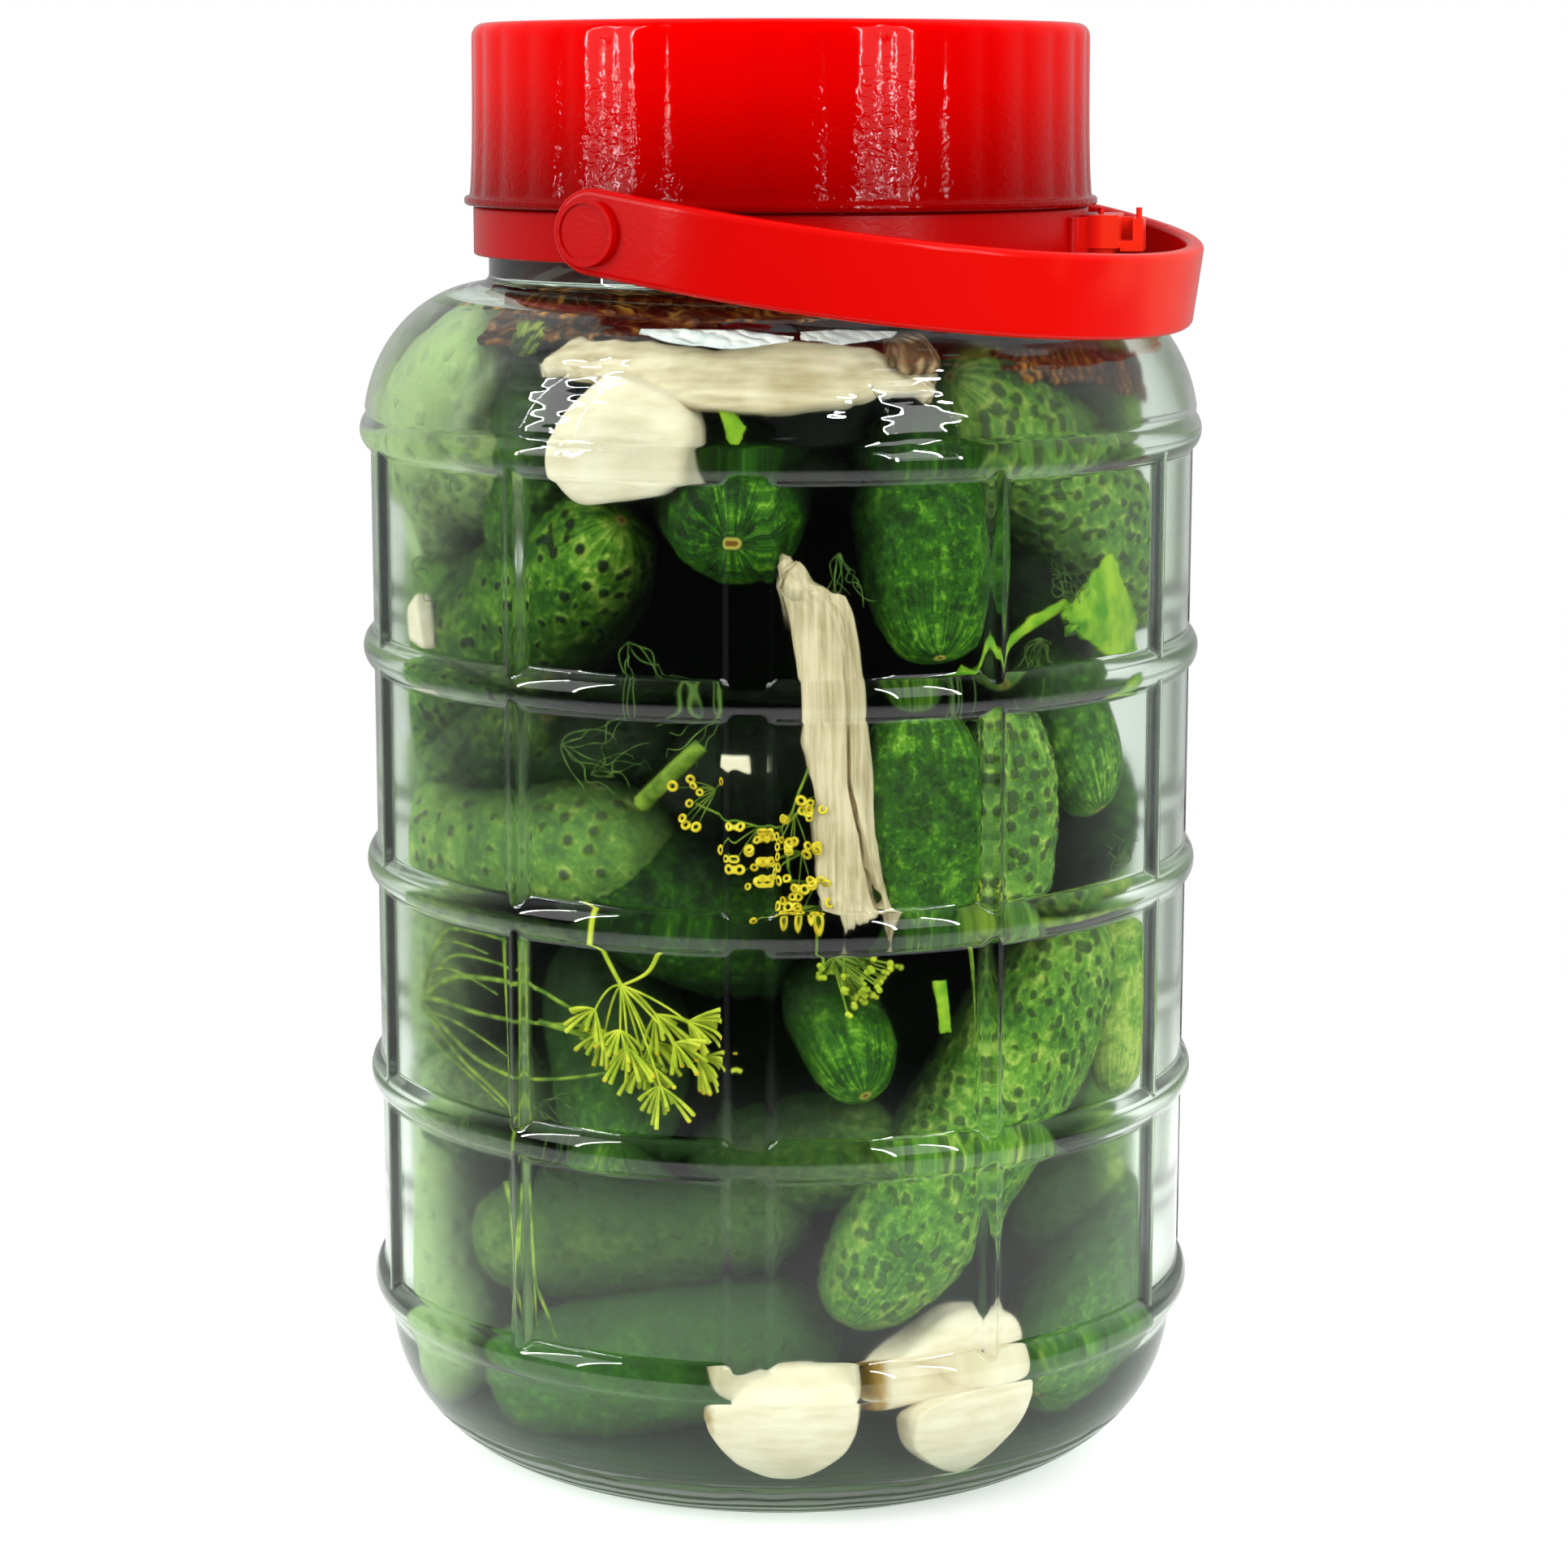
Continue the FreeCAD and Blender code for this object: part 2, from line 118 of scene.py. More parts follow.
# %% [markdown]
# ## Studio
# The jar stands on a pale table in a white studio, and is seen from a little above its lid. The
# camera stands off to one side of the handle's pivot, so one button and the folded strap show.
# %% Camera
FACING = 210.0                      # direction of the camera from the jar, anticlockwise from +X
CAMERA_AWAY = 0.9215                # metres from the jar's axis
CAMERA_UP = 0.3253                  # metres above the table
CAMERA_TILT = 79.8                  # degrees, where 90 looks level
FOCAL_LENGTH = 88.53
camera_data = bpy.data.cameras.new("camera")
camera = bpy.data.objects.new("camera", camera_data)
bpy.context.scene.collection.objects.link(camera)
bpy.context.scene.camera = camera
stand = Matrix.Rotation(math.radians(FACING), 3, "Z") @ Vector((CAMERA_AWAY, 0, 0))
camera.location = stand + Vector((0, 0, CAMERA_UP))
camera.rotation_euler = (math.radians(CAMERA_TILT), 0, math.radians(FACING - 270))
camera_data.lens = FOCAL_LENGTH
camera_data.shift_x = 0.00207
camera_data.clip_start = 0.05
print("camera at", [round(v, 3) for v in camera.location])

# %% [markdown]
# Glass shows what is round it, so the studio matters as much as the glass. Seen in a mirror it is
# light behind and beside the jar and dark in front, as where a studio hangs black cloth for glass,
# and that keeps the clear panels deep. Matt surfaces get a soft light, stronger from above and from
# behind. The camera, and whatever is seen through the glass, get plain white.
# %% World
MIRRORED_BEHIND, MIRRORED_IN_FRONT = 0.45, 0.015
SOFT_BELOW, SOFT_ABOVE = 0.30, 1.05
SOFT_BEHIND, SOFT_IN_FRONT = 1.65, 0.97


def front_share(tree, direction):
    """1 straight towards the camera's side of the studio, 0 sideways and behind."""
    front = [math.cos(math.radians(FACING)), math.sin(math.radians(FACING)), 0]
    flat = add(tree, "ShaderNodeVectorMath", {0: direction, 1: (1, 1, 0)}, operation="MULTIPLY")
    unit = add(tree, "ShaderNodeVectorMath", {0: flat.outputs[0]}, operation="NORMALIZE")
    dot = add(tree, "ShaderNodeVectorMath", {0: unit.outputs[0], 1: front}, operation="DOT_PRODUCT")
    return add(tree, "ShaderNodeMapRange", {0: dot.outputs["Value"], 1: -0.35, 2: 0.45},
               interpolation_type="SMOOTHSTEP").outputs[0]


world = bpy.data.worlds.new("studio")
bpy.context.scene.world = world
world.use_nodes = True
tree = world.node_tree
tree.nodes.clear()
path = add(tree, "ShaderNodeLightPath")
direction = add(tree, "ShaderNodeTexCoord").outputs["Generated"]
share = front_share(tree, direction)
mirror_light = add(tree, "ShaderNodeMapRange", {0: share, 3: MIRRORED_BEHIND, 4: MIRRORED_IN_FRONT})
height = add(tree, "ShaderNodeSeparateXYZ", {0: direction}).outputs["Z"]
from_above = add(tree, "ShaderNodeMapRange", {0: height, 1: -0.4, 2: 0.8, 3: SOFT_BELOW, 4: SOFT_ABOVE},
                 interpolation_type="SMOOTHSTEP")
round_about = add(tree, "ShaderNodeMapRange", {0: share, 3: SOFT_BEHIND, 4: SOFT_IN_FRONT})
soft_light = add(tree, "ShaderNodeMath", {0: from_above.outputs[0], 1: round_about.outputs[0]},
                 operation="MULTIPLY")
even = add(tree, "ShaderNodeMix", {
    0: path.outputs["Is Glossy Ray"], 2: soft_light.outputs[0], 3: mirror_light.outputs[0]})
seen = add(tree, "ShaderNodeMath", {0: path.outputs["Is Camera Ray"], 1: path.outputs["Is Transmission Ray"]},
           operation="MAXIMUM")
strength = add(tree, "ShaderNodeMix", {0: seen.outputs[0], 2: even.outputs[0], 3: 1.0})
studio = add(tree, "ShaderNodeBackground", {"Color": linear("#FFFFFF"), "Strength": strength.outputs[0]})
add(tree, "ShaderNodeOutputWorld", {"Surface": studio.outputs[0]})
print("mirrors see", MIRRORED_BEHIND, "behind the jar and", MIRRORED_IN_FRONT, "in front")

# %% [markdown]
# Two tall soft boxes stand in front, one each side, with their lower edges at the lid's height.
# Each has a bright tube down both edges. The faint cloth between them fills in the glints on the
# glass hoops, and the tubes draw the thin upright lines of light on the lid.
# %% Soft boxes
LAMP_AWAY = 1.3                     # metres from the jar's axis
LAMP_LOW, LAMP_HIGH = 0.30, 1.5     # metres above the table
CLOTH_WIDTH, CLOTH_WATTS = 0.36, 3
TUBE_WIDTH, TUBE_WATTS = 0.018, 6.5
TUBE_ASIDE = 8.5                    # degrees from the middle of the cloth to each of its tubes


def soft_box(name, bearing, width, watts):
    """An upright area lamp that faces the jar; bearing runs to the right as the camera sees it."""
    lamp = bpy.data.lights.new(name, "AREA")
    lamp.shape = "RECTANGLE"
    lamp.size = width
    lamp.size_y = LAMP_HIGH - LAMP_LOW
    lamp.energy = watts
    box = bpy.data.objects.new(name, lamp)
    bpy.context.scene.collection.objects.link(box)
    turn = Matrix.Rotation(math.radians(FACING + bearing), 4, "Z")
    place = Matrix.Translation((LAMP_AWAY, 0, (LAMP_LOW + LAMP_HIGH) / 2))
    aside, upright = Matrix.Rotation(math.radians(90), 4, "Z"), Matrix.Rotation(math.radians(90), 4, "X")
    box.matrix_world = turn @ place @ aside @ upright
    print(f"{name}: {watts} W at {bearing} degrees")


for side, bearing in (("left", -63), ("right", 38)):
    soft_box(side + "_cloth", bearing, CLOTH_WIDTH, CLOTH_WATTS)
    for edge in (-1, 1):
        soft_box(f"{side}_tube_{edge + 1}", bearing + TUBE_ASIDE * edge, TUBE_WIDTH, TUBE_WATTS)

# %% [markdown]
# The table is a plain pale sheet that keeps the jar's shadow. To the camera it glows a little, which
# lifts it to the white of the studio, and further out it fades away, so no edge shows.
# %% Floor
TABLE_R = 0.7                       # metres
FADE_FROM, FADE_TO = 0.25, 0.55     # metres from the jar's axis
floor_bm = bmesh.new()
bmesh.ops.create_circle(floor_bm, cap_ends=True, segments=96, radius=TABLE_R)
floor_mesh = bpy.data.meshes.new("floor")
floor_bm.to_mesh(floor_mesh)
floor_bm.free()
floor = bpy.data.objects.new("floor", floor_mesh)
bpy.context.scene.collection.objects.link(floor)
paper, tree, out = new_material("matt_white_table")
path = add(tree, "ShaderNodeLightPath")
place = add(tree, "ShaderNodeTexCoord").outputs["Object"]
reach = add(tree, "ShaderNodeVectorMath", {0: place}, operation="LENGTH").outputs["Value"]
matt = add(tree, "ShaderNodeBsdfDiffuse", {"Color": linear("#E6E6E6")})
lift = add(tree, "ShaderNodeEmission", {"Strength": 0.33})
shown = add(tree, "ShaderNodeMath",
            {0: path.outputs["Is Camera Ray"], 1: path.outputs["Is Transmission Ray"]}, operation="MAXIMUM")
unlit = add(tree, "ShaderNodeEmission", {"Strength": 0.0})
glow = add(tree, "ShaderNodeMixShader", {0: shown.outputs[0], 1: unlit.outputs[0], 2: lift.outputs[0]})
table = add(tree, "ShaderNodeAddShader", {0: matt.outputs[0], 1: glow.outputs[0]})
clear = add(tree, "ShaderNodeBsdfTransparent")
far = add(tree, "ShaderNodeMapRange", {0: reach, 1: FADE_FROM, 2: FADE_TO}, interpolation_type="SMOOTHSTEP")
faded = add(tree, "ShaderNodeMixShader", {0: far.outputs[0], 1: table.outputs[0], 2: clear.outputs[0]})
tree.links.new(faded.outputs[0], out.inputs["Surface"])
floor_mesh.materials.append(paper)
print("table", 2 * TABLE_R, "m across, fading from", FADE_FROM, "m on")

# %% [markdown]
# ## Glass jar
# Pressed soda-lime glass, 4 mm thick. It could be blown up from a cylinder by hand, but a lathe
# profile is the natural way to a bottle: the outline of one side is drawn once, outside and
# inside, and spun round the axis. Hoops, heel and shoulder are arcs of that one outline.
# %% Profile helpers
def arc_points(centre, reach, start, end, steps):
    """Points (radius, height) on an elliptical arc between two angles in degrees."""
    angles = [math.radians(start + (end - start) * i / steps) for i in range(steps + 1)]
    return [(centre[0] + reach[0] * math.cos(a), centre[1] + reach[1] * math.sin(a)) for a in angles]


def spin_profile(points, steps, repeats=1):
    """Spin a profile of (radius, height) in mm round the jar's axis into a closed surface.

    A fine profile is spun through one share of the turn, and that share is then repeated.
    """
    shape = bmesh.new()
    chain = [shape.verts.new((r * MM, 0, z * MM)) for r, z in points]
    edges = [shape.edges.new(pair) for pair in zip(chain, chain[1:])]
    bmesh.ops.spin(shape, geom=chain + edges, cent=(0, 0, 0), axis=(0, 0, 1),
                   angle=math.tau / repeats, steps=steps, use_merge=repeats == 1)
    share = bpy.data.meshes.new("share")
    shape.to_mesh(share)
    for turn in range(1, repeats):
        share.transform(Matrix.Rotation(math.tau / repeats, 4, "Z"))
        shape.from_mesh(share)
    bpy.data.meshes.remove(share)
    bmesh.ops.remove_doubles(shape, verts=shape.verts, dist=0.01 * MM)
    bmesh.ops.recalc_face_normals(shape, faces=shape.faces)
    return shape


# %% Sizes of the glass, in mm
BODY_R = 97.5
WALL = 4.0
INSIDE_R = BODY_R - WALL
HOOP_PITCH = 51.6
HOOP_Z = [40.3 + HOOP_PITCH * i for i in range(5)]
HOOP_PROUD = 2.5
HOOP_HALF = 4.75
HOOP_ARC = 5.76                     # radius of a hoop's round section
NECK_R = 69.0
NECK_INSIDE_R = 65.0
NECK_FOOT_Z = 280.7
RIM_Z = 338.0
FLOOR_Z = 8.0                       # top of the thick glass floor
HEEL_R, HEEL_Z = 62.0, 37.0         # middle of the arc inside the heel
HEEL_OUT, HEEL_DOWN = 31.5, 29.0    # and how far it reaches from there
SHOULDER_OUT, SHOULDER_UP = 28.5, 30.0
RIBS = 11


def hoop_points(z, last=10):
    """One round hoop across the wall, from its lower foot to its upper foot."""
    heights = [HOOP_HALF * i / 10 for i in range(-10, last + 1)]
    points = [(BODY_R + HOOP_PROUD - HOOP_ARC + math.sqrt(HOOP_ARC ** 2 - h * h), z + h) for h in heights]
    if last == 10:
        points.append((BODY_R, z + HOOP_HALF + 0.7))
    return [(BODY_R, z - HOOP_HALF - 0.7)] + points


# %% Outside and inside of the glass
outside = [(0, 3), (20, 2.7), (40, 1.2), (54, 0.2), (56, 0)] + arc_points((64, 33), (32, 33), -90, 0, 18)
for z in HOOP_Z[:-1]:
    outside += hoop_points(z)
    outside += [(BODY_R, z + HOOP_PITCH / 2)]
outside += hoop_points(HOOP_Z[-1], last=7) + [(98.5, HOOP_Z[-1] + 4.2)]
outside += arc_points((NECK_R, HOOP_Z[-1]), (30.1, 34), 9, 84, 24)
outside += arc_points((NECK_R + 2.5, NECK_FOOT_Z + 2.3), (2.5, 2.3), 250, 180, 4)
outside += [(NECK_R, 290), (NECK_R, 310)] + arc_points((NECK_R - 2, RIM_Z - 2), (2, 2), 0, 180, 6)
inside = [(NECK_INSIDE_R, 310), (NECK_INSIDE_R, 278)]
inside += arc_points((NECK_INSIDE_R, HOOP_Z[-1]), (SHOULDER_OUT, SHOULDER_UP), 88, 0, 16)
inside += [(INSIDE_R, z) for z in range(236, 44, -12)]
inside += arc_points((HEEL_R, HEEL_Z), (HEEL_OUT, HEEL_DOWN), 0, -90, 14) + [(30, FLOOR_Z), (0, FLOOR_Z)]
glass_shape = spin_profile(outside + inside, 38, RIBS)
print(len(outside), "points outside,", len(inside), "inside")

# %% [markdown]
# The eleven ribs run upright between the hoops. They are pushed out of the spun wall, as the
# mould presses them: first the rows of points are drawn together near each rib, so that a rib has
# enough of them to be round, and then the points on it move outwards.
# %% Ribs
FIRST_RIB = 205.9                   # degrees anticlockwise from +X
RIB_HALF = 3.4                      # mm
FRONT_RIB_HALF = 6.2
RIB_PROUD = 1.9
RIB_FLANK = 2.7
DRAWN_IN = 0.62                     # how closely the rows of points gather at a rib


def from_rib(angle):
    """Angle in radians from the nearest rib, and that rib's number."""
    step = math.tau / RIBS
    turn = (angle - math.radians(FIRST_RIB)) / step
    return (turn - round(turn)) * step, round(turn) % RIBS


for vert in glass_shape.verts:
    r = math.hypot(vert.co.x, vert.co.y) / MM
    if r < 1:
        continue
    angle = math.atan2(vert.co.y, vert.co.x)
    off = from_rib(angle)[0]
    angle -= DRAWN_IN / RIBS * math.sin(RIBS * off)
    off, number = from_rib(angle)
    z = vert.co.z / MM
    if r > 95 and HOOP_Z[0] - 1 < z < HOOP_Z[-1] + 0.5:
        half = FRONT_RIB_HALF if number == 0 else RIB_HALF
        rise = min(1, max(0, (half - abs(off) * BODY_R) / RIB_FLANK))
        if rise > 0:
            r = max(r, BODY_R + RIB_PROUD * rise * rise * (3 - 2 * rise))
    vert.co.x, vert.co.y = r * MM * math.cos(angle), r * MM * math.sin(angle)
print(RIBS, "ribs", RIB_PROUD, "mm proud,", len(glass_shape.verts), "points in all")

# %% [markdown]
# Soda-lime glass is clear with a breath of green, smooth as water and refracts at 1.52. Lamps get
# through it by the Light Path node, because a renderer that had to find its lamps through two
# bent walls would need hours. Where brine wets the wall the mirror is far fainter than against
# air, so the wet side has its own finish with hardly any reflection. Pressed glass is a little
# uneven inside, and its roughness there blurs what is far behind it but not what leans on it.
# The heel is the thickest part of the jar, so its green shows most at the foot, which has faint
# rings from the mould. The shoulder cooled with fine wrinkles, which show only in its mirror.
# %% Clear stuff
def see_through(name, colour, ior, mirror, lamp_colour, ripple=None, roughness=0.0):
    """Clear stuff that bends what is behind it, and lets lamps and soft light straight through."""
    material, tree, out = new_material(name)
    path = add(tree, "ShaderNodeLightPath")
    soft = add(tree, "ShaderNodeMath", {0: path.outputs["Is Shadow Ray"], 1: path.outputs["Is Diffuse Ray"]},
               operation="MAXIMUM")
    bent = add(tree, "ShaderNodeBsdfPrincipled", {
        "Base Color": linear(colour), "Roughness": roughness, "IOR": ior, "Transmission Weight": 1.0,
        "Specular Tint": linear(mirror)})
    if ripple:
        ripple(tree, bent)
    through = add(tree, "ShaderNodeBsdfTransparent", {"Color": linear(lamp_colour)})
    both = add(tree, "ShaderNodeMixShader", {0: soft.outputs[0], 1: bent.outputs[0], 2: through.outputs[0]})
    tree.links.new(both.outputs[0], out.inputs["Surface"])
    return material


# %% Wrinkles of the shoulder and rings of the foot
def crinkled_skin(tree, shader):
    """Wrinkles drawn out sideways, 2.5 mm apart, on swells 20 mm wide, in the shoulder's mirror."""
    place = add(tree, "ShaderNodeTexCoord").outputs["Object"]
    drawn = add(tree, "ShaderNodeMapping", {"Vector": place, "Scale": (75, 75, 400)})
    wave = add(tree, "ShaderNodeTexNoise", {"Vector": drawn.outputs[0], "Scale": 1.0, "Detail": 0.5})
    swell = add(tree, "ShaderNodeTexNoise", {"Vector": place, "Scale": 50.0, "Detail": 0.0})
    both = add(tree, "ShaderNodeMath", {0: swell.outputs[0], 1: 3.0, 2: wave.outputs[0]},
               operation="MULTIPLY_ADD")
    bump = add(tree, "ShaderNodeBump", {"Strength": 1.0, "Distance": 0.0009, "Height": both.outputs[0]})
    shader.inputs["Coat Weight"].default_value = 1.0
    shader.inputs["Coat IOR"].default_value = 1.75
    shader.inputs["Coat Roughness"].default_value = 0.0
    tree.links.new(bump.outputs[0], shader.inputs["Coat Normal"])


def ringed_foot(tree, shader):
    """Low rings left by the mould, 3 mm apart, round the foot."""
    place = add(tree, "ShaderNodeTexCoord").outputs["Object"]
    rings = add(tree, "ShaderNodeTexWave", {"Vector": place, "Scale": 105.0, "Distortion": 2.5, "Detail": 1.0,
                                            "Detail Scale": 0.6}, wave_type="RINGS", rings_direction="Z")
    bump = add(tree, "ShaderNodeBump", {"Strength": 1.0, "Distance": 0.0008, "Height": rings.outputs["Fac"]})
    tree.links.new(bump.outputs[0], shader.inputs["Normal"])


# %% Jar
GLASS_GREEN = "#EAF6EC"
GLASS_IOR = 1.52
glass = see_through("soda_lime_glass", GLASS_GREEN, GLASS_IOR, "#FFFFFF", "#F4FBF6")
wet_glass = see_through("soda_lime_glass_wetted", "#FFFFFF", GLASS_IOR, "#101010", "#FFFFFF", roughness=0.145)
shoulder_glass = see_through("soda_lime_glass_crinkled", GLASS_GREEN, GLASS_IOR, "#202020", "#F4FBF6",
                             crinkled_skin)
heel_glass = see_through("soda_lime_glass_thick_heel", "#749A62", GLASS_IOR, "#FFFFFF", "#DDE8DD",
                         ringed_foot)
jar = finish_piece("glass_jar", glass_shape, glass, "jar", "jar")
for other in (wet_glass, shoulder_glass, heel_glass):
    jar.data.materials.append(other)
WETTED, CRINKLED, HEEL = 1, 2, 3
HEEL_TOP_Z, FOOT_R = 14, 56
for face in jar.data.polygons:
    r, z = math.hypot(face.center.x, face.center.y) / MM, face.center.z / MM
    inward = face.normal.x * face.center.x + face.normal.y * face.center.y < 0
    on_floor = r < NECK_INSIDE_R + 0.5 and abs(z - FLOOR_Z) < 0.5
    if z < level and inward and r > 60 or on_floor:
        face.material_index = WETTED
    elif HOOP_Z[-1] + 1 < z < NECK_FOOT_Z - 4 and not inward:
        face.material_index = CRINKLED
    elif z < HEEL_TOP_Z and r > FOOT_R:
        face.material_index = HEEL

# %% [markdown]
# ## Brine
# The brine fills the jar to just under the neck. It is spun like the glass and reaches a quarter of
# a millimetre into the wall, so no film of air shows between the two. Its surface dips from the
# rim of wetted glass inwards. Salted water with vinegar refracts at 1.335. Its open surface is a
# mirror, though a weaker one than clean water, because seeds and bits of leaf float in it.
# %% Brine
INTO_WALL = 0.25
BRINE_IOR = 1.335
top_angle = math.degrees(math.asin((level - HOOP_Z[-1]) / SHOULDER_UP))
brine_outline = [(0, FLOOR_Z - INTO_WALL), (HEEL_R, FLOOR_Z - INTO_WALL)]
brine_outline += arc_points((HEEL_R, HEEL_Z), (HEEL_OUT + INTO_WALL, HEEL_DOWN + INTO_WALL), -90, 0, 14)
brine_outline += arc_points((NECK_INSIDE_R, HOOP_Z[-1]), (SHOULDER_OUT + INTO_WALL, SHOULDER_UP),
                            0, top_angle, 12)
edge_r = brine_outline[-1][0]
brine_outline += [(edge_r - 1.0, level - 0.5), (edge_r - 3.0, level - 0.9), (30, level - 1.0)]
brine_outline += [(0, level - 1.0)]
brine_shape = spin_profile(brine_outline, 160)
brine_skin = see_through("brine_against_glass", "#FFFFFF", BRINE_IOR, "#101010", "#FFFFFF")
brine_open = see_through("clear_brine", "#FDFFFA", BRINE_IOR, "#383838", "#FFFFFF")
brine = finish_piece("brine_fill", brine_shape, brine_skin, "jar", "brine")
brine.data.materials.append(brine_open)
for face in brine.data.polygons:
    if face.center.z > (level - 1.2) * MM and face.normal.z > 0.5:
        face.material_index = 1

# %% [markdown]
# ## Gherkins
# Seventy-five gherkins are packed upright, across and slantwise. Each is laid by two places:
# where its blossom tip and its stem end lie, each given by the bearing round the jar (0 faces the
# camera, to the right is positive), the height and the distance from the jar's axis, all in mm.
# A gherkin begins as a sphere. It is squared off towards a blunt sausage, bent a little, and gets
# warts; what would poke through the glass is pressed flat against it, as in a tightly packed jar.
# %% Room inside the glass
rng = random.Random(7)


def inner_radius(z):
    """Radius of the inside of the glass at a height, both in mm; works on whole arrays."""
    z = np.asarray(z, float)
    heel = HEEL_R + HEEL_OUT * np.sqrt(np.clip(1 - ((HEEL_Z - z) / HEEL_DOWN) ** 2, 0, 1))
    risen = (z - HOOP_Z[-1]) / SHOULDER_UP
    shoulder = NECK_INSIDE_R + SHOULDER_OUT * np.sqrt(np.clip(1 - risen ** 2, 0, 1))
    return np.where(z < HEEL_Z, heel, np.where(z < HOOP_Z[-1], INSIDE_R, shoulder))


def spot(bearing, height, radius):
    """A place in the jar, from its bearing right of the camera, its height and its radius."""
    angle = math.radians(FACING + bearing)
    return np.array([radius * math.cos(angle), radius * math.sin(angle), height])


CLEAR_FROM = 62.0                   # bearing where the pack starts to draw away from the glass
PACK_R = {1: 64.0, -1: 68.0}        # radius of the pack at the right and the left side
HIGH_LEFT = 16.0                    # how much further out it reaches under the left shoulder
BACK_FROM = 152.0                   # bearing where it comes out to the glass again, at the back
GIVE = 3.0                          # how softly things flatten against the glass, in mm


def room_at(points, gap=0.5):
    """How far from the axis things may lie at each point's height and bearing, in mm."""
    bearing = (np.degrees(np.arctan2(points[:, 1], points[:, 0])) - FACING + 180) % 360 - 180
    side = np.clip((np.abs(bearing) - CLEAR_FROM) / 24, 0, 1)
    back = np.clip((np.abs(bearing) - BACK_FROM) / 22, 0, 1)
    away = side * side * (3 - 2 * side) * (1 - back * back * (3 - 2 * back))
    left = PACK_R[-1] + HIGH_LEFT * np.clip((points[:, 2] - 226) / 16, 0, 1)
    pack = 94 - (94 - np.where(bearing > 0, PACK_R[1], left)) * away
    return np.minimum(inner_radius(points[:, 2]) - gap, pack)


def press_to_glass(points, gap=0.5, top=level - 1.6):
    """Flatten what lies too far out against the glass, the floor and the brine's surface."""
    points[:, 2] = np.clip(points[:, 2], FLOOR_Z + 0.6, top)
    reach = np.maximum(np.hypot(points[:, 0], points[:, 1]), 1e-6)
    room = room_at(points, gap)
    over = reach - room + GIVE
    pressed = np.where(over > 0, room - GIVE * np.exp(-np.maximum(over, 0) / GIVE), reach)
    points[:, :2] *= (pressed / reach)[:, None]
    return points


# %% Warts and blank ball
# What the mesh carries for its skin. wart: how far the nearest wart is sideways, ahead and straight,
# over its size; skin: tone, paleness and strength of the dots; around: direction round the gherkin
# and place along it; finish: distance from the tip, strength of the net, depth behind the glass,
# which sets the painted shade.
ATTRIBUTES = ("wart", "skin", "around", "finish")


def lay_warts(length, thick, spacing):
    """Wart centres on the skin as (angle, place along in mm, size), in loose staggered rows."""
    warts = []
    rows = max(2, int(length / (spacing * 0.87)))
    across = max(3, int(math.pi * thick / spacing))
    for row in range(rows):
        for step in range(across):
            if rng.random() < 0.12:
                continue
            angle = (step + 0.5 * (row % 2) + rng.uniform(-0.27, 0.27)) / across * math.tau
            along = (row + 0.5 + rng.uniform(-0.27, 0.27)) / rows * length - length / 2
            warts.append((angle, along * 0.93, rng.uniform(0.75, 1.2)))
    return np.array(warts)


def blank_ball(segments, rings):
    """A unit sphere mesh that each gherkin starts from."""
    shape = bmesh.new()
    bmesh.ops.create_uvsphere(shape, u_segments=segments, v_segments=rings, radius=1.0)
    mesh = bpy.data.meshes.new("blank_ball")
    shape.to_mesh(mesh)
    shape.free()
    for key in ATTRIBUTES:
        mesh.attributes.new(key, "FLOAT_VECTOR", "POINT")
    return mesh


def read_points(mesh):
    """The mesh's points as an array."""
    points = np.empty(len(mesh.vertices) * 3)
    mesh.vertices.foreach_get("co", points)
    return points.reshape(-1, 3)


